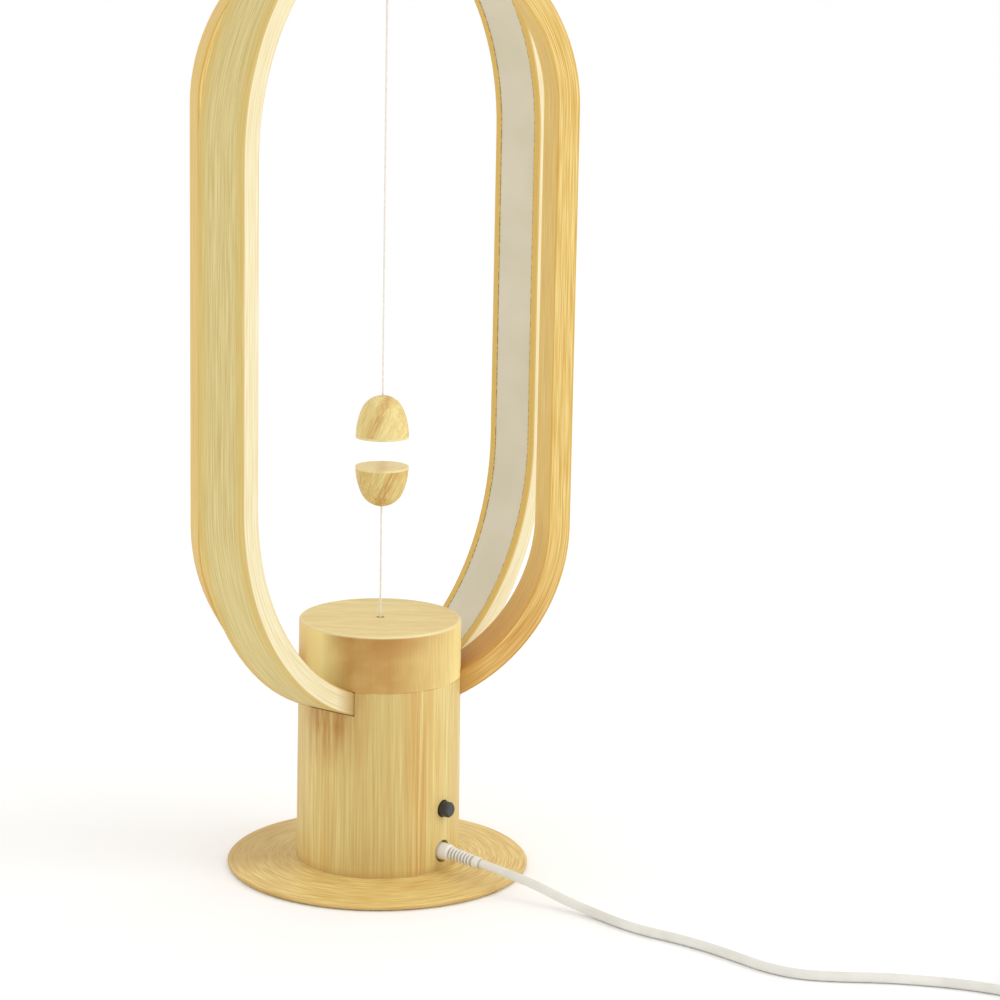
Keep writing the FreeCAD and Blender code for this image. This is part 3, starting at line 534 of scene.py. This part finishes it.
def wear(name, *pieces):
    """Puts a material on construction nodes, by name, or on new pieces."""
    for piece in pieces:
        piece = nodes[piece] if isinstance(piece, str) else piece
        if not piece.material_slots:
            piece.data.materials.append(None)
        for slot in piece.material_slots:
            slot.material = bpy.data.materials[name]
    print(name, "on", len(pieces), "pieces")


# %% [markdown]
# Wood and bamboo look right when their pattern has a real size. A wrapped
# image would have to be stretched to it on every round piece, so places are
# taken in millimetres on the piece itself and stay with it when it moves. A
# noise whose place is divided by three sizes draws flecks of those sizes.

# %% Places and flecks in millimetres


def place_mm(tree, turn=0.0):
    """The place on the piece, after a turn about the z axis."""
    metres = add(tree, "TexCoord", output="Object")
    place = add(tree, "VectorMath", metres, (1 / MM,) * 3, operation="MULTIPLY")
    return add(tree, "VectorRotate", place, (0, 0, 0), math.radians(turn), rotation_type="Z_AXIS")


def flecks(tree, place, sizes, detail=1.0, roughness=0.5):
    """Soft random flecks between 0 and 1, with a size for each direction."""
    scaled = add(tree, "VectorMath", place, sizes, operation="DIVIDE")
    return add(tree, "TexNoise", scaled, 1.0, detail, roughness)


def from_axis(tree):
    """How far a point is from the upright axis, in mm."""
    flat = add(tree, "VectorMath", place_mm(tree), (1, 1, 0), operation="MULTIPLY")
    return add(tree, "VectorMath", flat, operation="LENGTH", output="Value")


# %% [markdown]
# The hoops are laminated bamboo: thin layers glued round a former and then
# sanded and oiled, so the fibres run along the hoop wherever it bends. An
# image wrapped round the bend could do that, but a plain noise would run
# straight through it. These nodes first work out how far a point lies along
# the hoop, across its depth and through its layers.

# %% Place of a point on a hoop
HOOP_THICKNESS = 8.0
HOOP_BOTTOM = 58.5


def hoop_sizes(width, top, turn):
    """Half the width, the lower and upper end of the straight sides, and the turn."""
    return width / 2, HOOP_BOTTOM + width / 2, top - width / 2, turn


def hoop_place(tree, half_width, low_z, high_z, turn):
    """Along, across and through a hoop with two straight sides, in mm."""
    place = place_mm(tree, turn)
    x = add(tree, "Math", add(tree, "SeparateXYZ", place, output="X"), operation="ABSOLUTE")
    across = add(tree, "SeparateXYZ", place, output="Y")
    z = add(tree, "SeparateXYZ", place, output="Z")
    middle = add(tree, "Clamp", z, low_z, high_z)
    rise = add(tree, "Math", z, middle, operation="SUBTRACT")
    spoke = add(tree, "VectorMath", add(tree, "CombineXYZ", x, rise), operation="LENGTH", output="Value")
    through = add(tree, "Math", spoke, half_width - HOOP_THICKNESS, operation="SUBTRACT")
    swing = add(tree, "Math", rise, x, operation="ARCTAN2")
    along = add(tree, "Math", swing, half_width, middle, operation="MULTIPLY_ADD")
    return add(tree, "CombineXYZ", along, across, through), across, through, z


# %% [markdown]
# Sanded bamboo shows two faces. The wide inner and outer faces are the tan
# skin of one strip, with fibres like fine hairs and a more golden margin. The
# narrow front and back faces cut through all the strips and are paler, with a
# faint line of glue between each two. The eye reads the pair as a bent
# laminate. The oil leaves a low sheen.

# %% Laminated bamboo
LAYER = HOOP_THICKNESS / 6
# Bamboo fibres are about 0.3 mm wide, drawn at 0.4 mm so that they show.
FIBRE_WIDTH = 0.4
FIBRE_RELIEF = 0.06
FOOT_RADIUS = 29.6


def laminated_bamboo(name, hoop, skin, cut, margin, glue_and_corner_shade, glue_share, spread):
    """Skin and cut are colours of pale and dark fibres; a small spread parts them sharply."""
    tree, shader = start_finish(name, 0.55, IOR=1.5, Specular_IOR_Level=0.35)
    place, across, through, z = hoop_place(tree, *hoop)
    hairs = flecks(tree, place, (22, FIBRE_WIDTH, FIBRE_WIDTH))
    strands = flecks(tree, place, (70, 1.1, 0.9))
    fibre = add(tree, "Math", strands, 0.35, hairs, operation="MULTIPLY_ADD")
    tone = add(tree, "MapRange", fibre, 0.675 - spread, 0.675 + spread)
    wide_face = add(tree, "Mix", tone, *skin, data_type="RGBA")
    off_middle = add(tree, "Math", across, operation="ABSOLUTE")
    edge_share = add(tree, "MapRange", off_middle, 5.5, 8.0, 0.0, 0.5)
    wide_face = add(tree, "Mix", edge_share, wide_face, margin, data_type="RGBA")
    cut_face = add(tree, "Mix", tone, *cut, data_type="RGBA")
    wavy = add(tree, "Math", strands, 0.6, through, operation="MULTIPLY_ADD")
    ply = add(tree, "Math", wavy, LAYER / 2, operation="PINGPONG")
    joint = add(tree, "MapRange", ply, 0.16, 0.0, 0.0, glue_share)
    cut_face = add(tree, "Mix", joint, cut_face, glue_and_corner_shade, data_type="RGBA")
    depth = add(tree, "Math", HOOP_THICKNESS, through, operation="SUBTRACT")
    depth = add(tree, "Math", depth, through, operation="MINIMUM")
    # The corner between the two faces is painted with a darker thread, painted shade where the surface turns.
    corner = add(tree, "MapRange", depth, 0.7, 0.4, 0.0, 0.6)
    cut_face = add(tree, "Mix", corner, cut_face, glue_and_corner_shade, data_type="RGBA")
    base = add(tree, "Mix", add(tree, "MapRange", depth, 0.2, 0.42), wide_face, cut_face, data_type="RGBA")
    # The hoop is darker towards where it goes into the body.
    entering = add(tree, "MapRange", from_axis(tree), 38.5, FOOT_RADIUS, 0.0, 0.85)
    low = add(tree, "MapRange", z, 95.0, 85.0)
    entering = add(tree, "Math", entering, low, operation="MULTIPLY")
    base = add(tree, "Mix", entering, base, "B0873C", data_type="RGBA")
    return tree, shader, base, hairs, (place, across, through, z)


# %% [markdown]
# The hoop with the light is the paler one. On its inner side two lips stand
# beside the frosted strip. They are painted a darker gold, painted shade of the
# face that turns inward, and the glue that squeezed out along the strip left a
# broken brown line, which the eye takes for hand work.

# %% Pale hoop with the light
DIFFUSER_HALF_WIDTH = 7.3

tree, shader, base, hairs, (place, across, through, _) = laminated_bamboo(
    "laminated_bamboo_pale",
    hoop_sizes(width=175.0, top=349.0, turn=0.0),
    skin=("DFCF93", "C8B16B"),
    # The cut colours are partly the paler end grain and partly a painted highlight of the front light.
    cut=("EFE6C4", "E0D09E"),
    margin="D4B25A",
    glue_and_corner_shade="C9A75C",
    glue_share=0.3,
    spread=0.2,
)
# Painted shade: the inner face is mixed towards a darker gold.
shaded_lip = add(tree, "MapRange", through, 0.5, 0.2, 0.0, 0.75)
base = add(tree, "Mix", shaded_lip, base, "DCB964", data_type="RGBA")
beside = add(tree, "Math", across, operation="ABSOLUTE")
beside = add(tree, "Math", beside, DIFFUSER_HALF_WIDTH, operation="SUBTRACT")
inside = add(tree, "MapRange", through, 1.5, 1.0)
glue_line = add(tree, "Math", add(tree, "MapRange", beside, 0.4, 0.2), inside, operation="MULTIPLY")
broken = add(tree, "MapRange", flecks(tree, place, (1.8, 4, 4)), 0.42, 0.55, 0.0, 0.75)
glue_line = add(tree, "Math", glue_line, broken, operation="MULTIPLY")
base = add(tree, "Mix", glue_line, base, "8C6636", data_type="RGBA")
surface(tree, shader, base, hairs, FIBRE_RELIEF)
wear("laminated_bamboo_pale", "led_hoop")

# %% [markdown]
# The crossing hoop is more golden, and its fibres stand out more. Its lower
# bend took more heat in the former, which turned it orange between pale fibres.
# On its inner face the orange is stronger, partly as painted shade.

# %% Golden hoop
tree, shader, base, hairs, (place, _, through, z) = laminated_bamboo(
    "laminated_bamboo_golden",
    hoop_sizes(width=134.0, top=341.0, turn=41.0),
    skin=("E6C970", "D0A64A"),
    cut=("EED48A", "D2A850"),
    margin="DFB855",
    glue_and_corner_shade="B9853F",
    glue_share=0.18,
    spread=0.17,
)
heat_tint_and_shade = add(tree, "MapRange", z, 128.0, 84.0, 0.0, 0.8)
# The inner face gets the orange evenly, partly as painted shade of that face, the cut face only in its darker fibres.
heat_and_inner_shade = add(tree, "MapRange", through, 1.0, 0.3, 0.15, 0.55)
dark_fibre = flecks(tree, place, (35, FIBRE_WIDTH, FIBRE_WIDTH))
dark_fibre = add(tree, "MapRange", dark_fibre, 0.36, 0.66, heat_and_inner_shade, 0.9)
heat_tint_and_shade = add(tree, "Math", heat_tint_and_shade, dark_fibre, operation="MULTIPLY")
base = add(tree, "Mix", heat_tint_and_shade, base, "BC7A30", data_type="RGBA")
surface(tree, shader, base, hairs, FIBRE_RELIEF)
wear("laminated_bamboo_golden", "cross_hoop")

# %% [markdown]
# The body is turned from upright bamboo strips, so it shows fine vertical
# lines of many tints. A wave texture would look ruled, so the lines come from
# flecks that are long in z: hair-fine fibres, strips under two millimetres and
# broad bands. Handling and oil have darkened it in streaks under the slots.

# %% Turned upright bamboo
FRONT_TURN = 54.6
SLOT_HALF_WIDTH = 10.2
SEAM_Z = 71.5


def near_slots(tree, turn, low_z, high_z, reach):
    """Where a face lies close beside or below the slots of a hoop."""
    place = place_mm(tree, turn)
    across = add(tree, "Math", add(tree, "SeparateXYZ", place, output="Y"), operation="ABSOLUTE")
    z = add(tree, "SeparateXYZ", place, output="Z")
    beside = add(tree, "MapRange", across, SLOT_HALF_WIDTH + reach, SLOT_HALF_WIDTH - reach)
    below = add(tree, "MapRange", z, low_z - 3 * reach, low_z)
    above = add(tree, "MapRange", z, high_z + reach, high_z)
    share = add(tree, "Math", beside, below, operation="MULTIPLY")
    return add(tree, "Math", share, above, operation="MULTIPLY")


tree, shader = start_finish("turned_bamboo_upright", 0.5, IOR=1.5, Specular_IOR_Level=0.4, Coat_Weight=0.05)
place = place_mm(tree, FRONT_TURN)
z = add(tree, "SeparateXYZ", place, output="Z")
sideways = add(tree, "SeparateXYZ", place, output="X")
fibres = flecks(tree, place, (FIBRE_WIDTH, FIBRE_WIDTH, 30), 1.5, 0.6)
strips = flecks(tree, place, (1.6, 1.6, 110))
bands = flecks(tree, place, (7, 7, 90))
fibre = add(tree, "Math", strips, 0.3, fibres, operation="MULTIPLY_ADD")
base = add(tree, "Mix", add(tree, "MapRange", fibre, 0.4, 0.9), "E7D590", "C8A75D", data_type="RGBA")
base = add(tree, "Mix", add(tree, "MapRange", bands, 0.46, 0.66, 0.0, 0.35), base, "D0A352", data_type="RGBA")
# The strips in the middle of the picture are greyer, and one to their right is orange.
grey_side = add(tree, "MapRange", add(tree, "Math", sideways, operation="ABSOLUTE"), 20.0, 6.0, 0.0, 0.4)
base = add(tree, "Mix", grey_side, base, "BDA263", data_type="RGBA")
from_strip = add(tree, "Math", add(tree, "Math", sideways, 15.0, operation="SUBTRACT"), operation="ABSOLUTE")
orange_strip = add(tree, "MapRange", from_strip, 5.0, 1.5, 0.0, 0.5)
orange_strip = add(tree, "Math", orange_strip, add(tree, "MapRange", strips, 0.4, 0.6), operation="MULTIPLY")
base = add(tree, "Mix", orange_strip, base, "C58E42", data_type="RGBA")
# The stain runs down along the fibres and fades out in streaks.
run_down = flecks(tree, place, (2.6, 2.6, 22), 2.0, 0.6)
stain = add(tree, "MapRange", run_down, 0.3, 0.56, 0.1, 0.9)
stained = near_slots(tree, turn=0.0, low_z=58.0, high_z=SEAM_Z, reach=6.0)
stain = add(tree, "Math", stain, stained, operation="MULTIPLY")
base = add(tree, "Mix", stain, base, "B07A34", data_type="RGBA")
# Oil and dust darken the seam under the cap in places, and the body is darker towards its foot all round.
seam = add(tree, "MapRange", z, SEAM_Z - 0.45, SEAM_Z - 0.25)
seam = add(tree, "Math", seam, add(tree, "MapRange", bands, 0.3, 0.6, 0.0, 0.4), operation="MULTIPLY")
base = add(tree, "Mix", seam, base, "8E6632", data_type="RGBA")
foot = add(tree, "MapRange", z, 6.5, 3.6, 0.0, 0.45)
base = add(tree, "Mix", foot, base, "B88F50", data_type="RGBA")
surface(tree, shader, base, fibres, FIBRE_RELIEF)
wear("turned_bamboo_upright", "base_cylinder", "cap_dowels")

# %% [markdown]
# The cap is turned from a block whose fibres lie flat. Its top shows fine
# straight lines, and where its side cuts across the fibres it drinks up oil
# and turns a soft orange brown below the rim. The rim is painted pale, a
# painted highlight.

# %% Turned flat bamboo
CAP_RADIUS = 29.1
CAP_TOP = 92.0

tree, shader = start_finish("turned_bamboo_flat", 0.48, IOR=1.5, Specular_IOR_Level=0.4, Coat_Weight=0.05)
place = place_mm(tree, FRONT_TURN)
z = add(tree, "SeparateXYZ", place, output="Z")
sideways = add(tree, "SeparateXYZ", place, output="X")
top_lines = flecks(tree, place, (9, 0.45, 6), 2.0, 0.6)
top_bands = flecks(tree, place, (40, 5, 12))
fibre = add(tree, "Math", top_bands, 0.5, top_lines, operation="MULTIPLY_ADD")
top = add(tree, "Mix", add(tree, "MapRange", fibre, 0.5, 1.0), "EAD894", "D6B86C", data_type="RGBA")
side_lines = flecks(tree, place, (0.5, 0.5, 16), 2.0, 0.6)
side = add(tree, "Mix", add(tree, "MapRange", side_lines, 0.3, 0.7), "EBD68E", "DCBF72", data_type="RGBA")
# The left of the side and its right end are painted paler: painted light that lifts the shade where the side turns
# away.
painted_light_left = add(tree, "MapRange", sideways, -6.0, -19.0, 0.0, 0.85)
painted_light_right = add(tree, "MapRange", sideways, 25.0, 29.0, 0.0, 0.7)
painted_side_light = add(tree, "Math", painted_light_left, painted_light_right, operation="MAXIMUM")
side = add(tree, "Mix", painted_side_light, side, "FFF0AA", data_type="RGBA")
# Between them the oil has soaked in as clouds, darkest under the rim.
clouds = flecks(tree, place, (13, 13, 9), 2.0, 0.45)
fades_left = add(tree, "MapRange", sideways, -20.0, -9.5)
fades_right = add(tree, "MapRange", sideways, 28.0, 5.0)
soaked = add(tree, "Math", fades_left, fades_right, operation="MULTIPLY")
soaked = add(tree, "Math", soaked, 0.93, operation="MULTIPLY")
soaked = add(tree, "Math", soaked, add(tree, "MapRange", clouds, 0.2, 0.55, 0.6, 1.0), operation="MULTIPLY")
side = add(tree, "Mix", soaked, side, "BA8B44", data_type="RGBA")
under_rim = add(tree, "MapRange", z, 83.0, 90.0, 0.0, 0.6)
under_rim = add(tree, "Math", under_rim, soaked, operation="MULTIPLY")
side = add(tree, "Mix", under_rim, side, "AC7430", data_type="RGBA")
base = add(tree, "Mix", add(tree, "MapRange", z, CAP_TOP - 0.9, CAP_TOP - 0.4), side, top, data_type="RGBA")
# Painted highlight: the rim is mixed towards a pale cream.
rim = add(tree, "MapRange", from_axis(tree), CAP_RADIUS - 1.2, CAP_RADIUS - 0.6, 0.0, 0.6)
rim = add(tree, "Math", rim, add(tree, "MapRange", z, CAP_TOP - 1.0, CAP_TOP - 0.5), operation="MULTIPLY")
base = add(tree, "Mix", rim, base, "F2E6B8", data_type="RGBA")
surface(tree, shader, base, top_lines, 0.05)
wear("turned_bamboo_flat", "base_cap")

# %% [markdown]
# The disc is a thin turned plate. The chisel and the sandpaper leave fine
# rings round its centre, and the cut has scorched its rim a little. Rings of
# one width would look printed, so flecks that are thin along the radius and
# long round it draw them, in places that come from the radius and the angle.

# %% Turned disc
DISC_RADIUS = 54.5

tree, shader = start_finish("turned_bamboo_disc", 0.5, IOR=1.5, Specular_IOR_Level=0.3)
place = place_mm(tree, FRONT_TURN)
sideways = add(tree, "SeparateXYZ", place, output="X")
radius = from_axis(tree)
around = add(tree, "VectorMath", place, (1, 1, 0), operation="MULTIPLY")
around = add(tree, "VectorMath", around, operation="NORMALIZE")
around = add(tree, "VectorMath", around, (2.0, 2.0, 2.0), operation="MULTIPLY")
ring_place = add(tree, "VectorMath", around, add(tree, "CombineXYZ", 0.0, 0.0, radius), operation="ADD")
# The tool leaves a line every 0.2 mm, drawn at 0.4 mm so that it shows.
rings = flecks(tree, ring_place, (0.5, 0.5, 0.4))
wide_rings = flecks(tree, ring_place, (2.5, 2.5, 2.4))
fibre = add(tree, "Math", wide_rings, 0.2, rings, operation="MULTIPLY_ADD")
base = add(tree, "Mix", add(tree, "MapRange", fibre, 0.38, 0.82), "F0DA92", "CFA95C", data_type="RGBA")
clouds = add(tree, "MapRange", flecks(tree, place, (14, 14, 14), 2.0), 0.45, 0.7, 0.0, 0.25)
base = add(tree, "Mix", clouds, base, "D4A95C", data_type="RGBA")
# Painted shade: the left of the disc is darker, but not its front.
far_side = add(tree, "MapRange", add(tree, "SeparateXYZ", place, output="Y"), -24.0, -6.0)
painted_shade_left = add(tree, "MapRange", sideways, -12.0, -40.0, 0.0, 0.5)
painted_shade_left = add(tree, "Math", painted_shade_left, far_side, operation="MULTIPLY")
base = add(tree, "Mix", painted_shade_left, base, "AE8B48", data_type="RGBA")
rim = add(tree, "MapRange", radius, DISC_RADIUS - 0.5, DISC_RADIUS - 0.1, 0.0, 0.45)
base = add(tree, "Mix", rim, base, "B98A48", data_type="RGBA")
surface(tree, shader, base, rings, 0.05)
wear("turned_bamboo_disc", "base_disc")

# %% [markdown]
# The eggs are small turned pieces of beech. Their grain leans over to one
# side, with fine lines and a soft brown streak. A grain that stood upright
# would make them look moulded. The flats are sanded end grain, which stays
# lighter and calmer.

# %% Turned beech
EGG_LEAN = -24.0


def turned_beech(name, piece, middle_z, colours, streak_share):
    """Grain that leans about the egg's middle, with one brown streak there."""
    tree, shader = start_finish(name, 0.5, IOR=1.5, Specular_IOR_Level=0.4)
    place = add(tree, "VectorMath", place_mm(tree, FRONT_TURN), (0, 0, middle_z), operation="SUBTRACT")
    place = add(tree, "VectorRotate", place, (0, 0, 0), math.radians(EGG_LEAN), rotation_type="Y_AXIS")
    # Beech rays are about 0.3 mm wide and some mm long, drawn at 0.4 mm.
    lines = flecks(tree, place, (0.4, 1.0, 7), 1.5, 0.6)
    years = flecks(tree, place, (2.2, 9, 60))
    tone = add(tree, "Math", years, 0.6, lines, operation="MULTIPLY_ADD")
    base = add(tree, "Mix", add(tree, "MapRange", tone, 0.5, 1.1), *colours, data_type="RGBA")
    sideways = add(tree, "Math", add(tree, "SeparateXYZ", place, output="X"), operation="ABSOLUTE")
    streak = add(tree, "MapRange", sideways, 2.6, 0.6)
    uneven = add(tree, "MapRange", lines, 0.3, 0.6, 0.2, streak_share)
    streak = add(tree, "Math", streak, uneven, operation="MULTIPLY")
    base = add(tree, "Mix", streak, base, "BC8436", data_type="RGBA")
    surface(tree, shader, base, lines, 0.04)
    wear(name, piece)


UPPER_GRAIN = ("EFE0A2", "D9BF74")
LOWER_GRAIN = ("E6D492", "C9A85A")
END_GRAIN = ("F0E3B2", "E4D092")
turned_beech("turned_beech_upper", "upper_egg", 168.0, UPPER_GRAIN, streak_share=0.55)
turned_beech("turned_beech_lower", "lower_egg", 136.0, LOWER_GRAIN, streak_share=0.7)
turned_beech("sanded_beech_upper", "upper_egg_cover", 157.0, END_GRAIN, streak_share=0.2)
turned_beech("sanded_beech_lower", "lower_egg_cover", 147.0, END_GRAIN, streak_share=0.3)

# %% [markdown]
# The other finishes are moulded, plated, pressed or twisted. They share one
# recipe: two close colours that a soft cloud mixes, and a fine grain in the
# surface, each at its own real size.

# %% Plain finishes


def plain_finish(name, *pieces, colours, roughness, cloud_mm, grain_mm, depth_mm, **values):
    """Two colours in clouds and a fine grain, with sizes and depth in millimetres."""
    tree, shader = start_finish(name, roughness, **values)
    place = place_mm(tree)
    clouds = flecks(tree, place, (cloud_mm,) * 3, 2.0)
    grain = flecks(tree, place, (grain_mm,) * 3)
    base = add(tree, "Mix", add(tree, "MapRange", clouds, 0.35, 0.65), *colours, data_type="RGBA")
    surface(tree, shader, base, grain, depth_mm)
    wear(name, *pieces)


# %% [markdown]
# Moulded plastics: their grain is the spark-eroded surface of the mould, 0.3 to
# 0.5 mm wide. Frosted acrylic scatters light, so it looks matt and milky. Soft
# vinyl has a low silky sheen, and the black button a small bright glint.

# %% Moulded plastics
plain_finish(
    "frosted_acrylic",
    "diffuser",
    colours=("DAD5C2", "D2CDB8"), roughness=0.75,
    cloud_mm=25, grain_mm=0.5, depth_mm=0.02, IOR=1.49,
)
plain_finish(
    "soft_white_vinyl",
    lead, "plug_boot", "usb_overmould", "cord", "cord_coil", "cord_tail",
    colours=("E6E4DC", "DDDBD2"), roughness=0.45,
    cloud_mm=9, grain_mm=0.4, depth_mm=0.02, IOR=1.53,
)
plain_finish(
    "moulded_black_abs",
    "button_cap", "power_switch_body", "dc_jack",
    colours=("2A2B2C", "353636"), roughness=0.4,
    cloud_mm=4, grain_mm=0.3, depth_mm=0.02, IOR=1.54,
)
plain_finish(
    "moulded_grey_nylon",
    "pull_housing", "pull_plunger", "switch_stem", "usb_tongue",
    colours=("B9B9B4", "AFAFAA"), roughness=0.55,
    cloud_mm=5, grain_mm=0.3, depth_mm=0.02, IOR=1.53,
)

# %% [markdown]
# The grip has the same vinyl, but its slots hold shade and dust. A real gap
# darkens by itself, though not enough in such even light, so the colour also
# falls off where a point lies close to the middle line of the plug.

# %% Ribbed vinyl grip
tree, shader = start_finish("ribbed_white_vinyl", 0.45, IOR=1.53)
place = place_mm(tree)
grain = flecks(tree, place, (0.4,) * 3)
run = add(tree, "SeparateXYZ", place, output="Y")
run = add(tree, "Math", run, sleeve_place.y, operation="SUBTRACT")
drop = add(tree, "Math", run, math.tan(SLEEVE_DROOP), operation="MULTIPLY")
above = add(tree, "Math", add(tree, "SeparateXYZ", place, output="Z"), GRIP_PLACE[2], operation="SUBTRACT")
above = add(tree, "Math", above, drop, operation="SUBTRACT")
aside = add(tree, "SeparateXYZ", place, output="X")
depth = add(tree, "VectorMath", add(tree, "CombineXYZ", aside, above), operation="LENGTH", output="Value")
slot_share = add(tree, "MapRange", depth, 2.05, 1.7, 0.0, 0.6)
base = add(tree, "Mix", slot_share, "E9E7E0", "8F8C80", data_type="RGBA")
surface(tree, shader, base, grain, 0.02)
wear("ribbed_white_vinyl", plug_grip)

# %% [markdown]
# Metals take their colour into the reflection, so they need no separate gloss
# layer. Zinc plate is a dull grey, nickel plate is warmer and sharper, and bare
# brass is yellow with a soft gloss.

# %% Metals
plain_finish(
    "zinc_plated_steel",
    "disc_screws", "ballast", "ballast_screw", "pull_spring", "pull_screws", "board_screws",
    colours=("A9A9A6", "9C9D9B"), roughness=0.35,
    cloud_mm=3, grain_mm=0.2, depth_mm=0.01, Metallic=1.0,
)
plain_finish(
    "nickel_plate",
    "upper_magnet", "lower_magnet", "plug_barrel", "usb_shell",
    colours=("C9C8C3", "BFBEB9"), roughness=0.2,
    cloud_mm=4, grain_mm=0.3, depth_mm=0.005, Metallic=1.0,
)
plain_finish(
    "bare_brass",
    "upper_crimp_bead", "lower_crimp_bead", "contact_leaves", "board_spacers",
    colours=("C9A452", "BC9546"), roughness=0.3,
    cloud_mm=3, grain_mm=0.2, depth_mm=0.01, Metallic=1.0,
)

# %% [markdown]
# Felt and yarn are fibres, so light catches their fuzz at the edges. A little
# sheen gives that. The felt is pressed flat and dark, the yarn is twisted.

# %% Felt and yarn
plain_finish(
    "pressed_felt",
    "felt_pad",
    colours=("4A453F", "3B3732"), roughness=0.95,
    cloud_mm=2.5, grain_mm=0.3, depth_mm=0.2, Sheen_Weight=0.3,
)
plain_finish(
    "twisted_white_yarn",
    upper_twist, lower_twist, "upper_string", "lower_string",
    colours=("F4F2EA", "E9E6DC"), roughness=0.8,
    cloud_mm=1.5, grain_mm=0.15, depth_mm=0.02, Sheen_Weight=0.2,
)

# %% [markdown]
# The electric pieces sit inside. The board is green lacquer over glass fibre,
# the strip is a white printed film, each light chip has a yellow phosphor in
# silicone, and the wires have a smooth red sheath.

# %% Electric pieces
plain_finish(
    "glass_fibre_board",
    "control_board",
    colours=("2F5A3C", "284E34"), roughness=0.4,
    cloud_mm=6, grain_mm=0.6, depth_mm=0.01, IOR=1.55,
)
plain_finish(
    "white_flexible_circuit",
    "led_strip",
    colours=("ECE9DF", "E0DCCF"), roughness=0.5,
    cloud_mm=6, grain_mm=0.5, depth_mm=0.01, IOR=1.55,
)
plain_finish(
    "phosphor_cover",
    "led_chips",
    colours=("E7D36A", "DCC65B"), roughness=0.4,
    cloud_mm=1.5, grain_mm=0.3, depth_mm=0.01, IOR=1.41,
)
plain_finish(
    "red_wire_sheath",
    "switch_wires", "led_wires",
    colours=("B8382E", "A93127"), roughness=0.45,
    cloud_mm=3, grain_mm=0.3, depth_mm=0.01, IOR=1.53,
)

# %% [markdown]
# A pale floor and a bright, even surround keep the whole picture light, with
# hardly any shadow, as in a photo tent. One large soft lamp at the front
# right adds the brighter light on the edge of the hoops.

# %% Floor and light
FLOOR_REACH = 60.0
LAMP_PLACE = (0.55, -1.5, 1.0)
LAMP_AIM = (0, 0, 0.15)
LAMP_SIZE = 0.9
LAMP_POWER = 6.5

corners = [(-1, -1), (1, -1), (1, 1), (-1, 1)]
floor = mesh_piece("floor", [(FLOOR_REACH * x, FLOOR_REACH * y, 0) for x, y in corners], [(0, 1, 2, 3)])
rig.stage(floor)
tree, shader = start_finish("pale_floor", 0.9, Specular_IOR_Level=0.1)
shader.inputs["Base Color"].default_value = linear("FFFFFF")
wear("pale_floor", floor)

world = bpy.data.worlds.new("photo_tent")
world.use_nodes = True
world.node_tree.nodes["Background"].inputs["Color"].default_value = linear("FFFFFF")
world.node_tree.nodes["Background"].inputs["Strength"].default_value = 1.0
scene.world = world

lamp = bpy.data.lights.new("front_right_lamp", "AREA")
lamp.shape = "SQUARE"
lamp.size = LAMP_SIZE
lamp.energy = LAMP_POWER
soft_box = bpy.data.objects.new("front_right_lamp", lamp)
soft_box.location = LAMP_PLACE
toward = Vector(LAMP_AIM) - Vector(LAMP_PLACE)
soft_box.rotation_mode = "QUATERNION"
soft_box.rotation_quaternion = toward.to_track_quat("-Z", "Y")
scene.collection.objects.link(soft_box)
print("lamp shines along", [round(v, 2) for v in toward.normalized()])

# %% Sizes and finish
final_low, final_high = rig.bounds()
with open("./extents.json", "w") as out:
    json.dump({"cad": [list(cad_low), list(cad_high)], "visual": [list(final_low), list(final_high)]}, out)
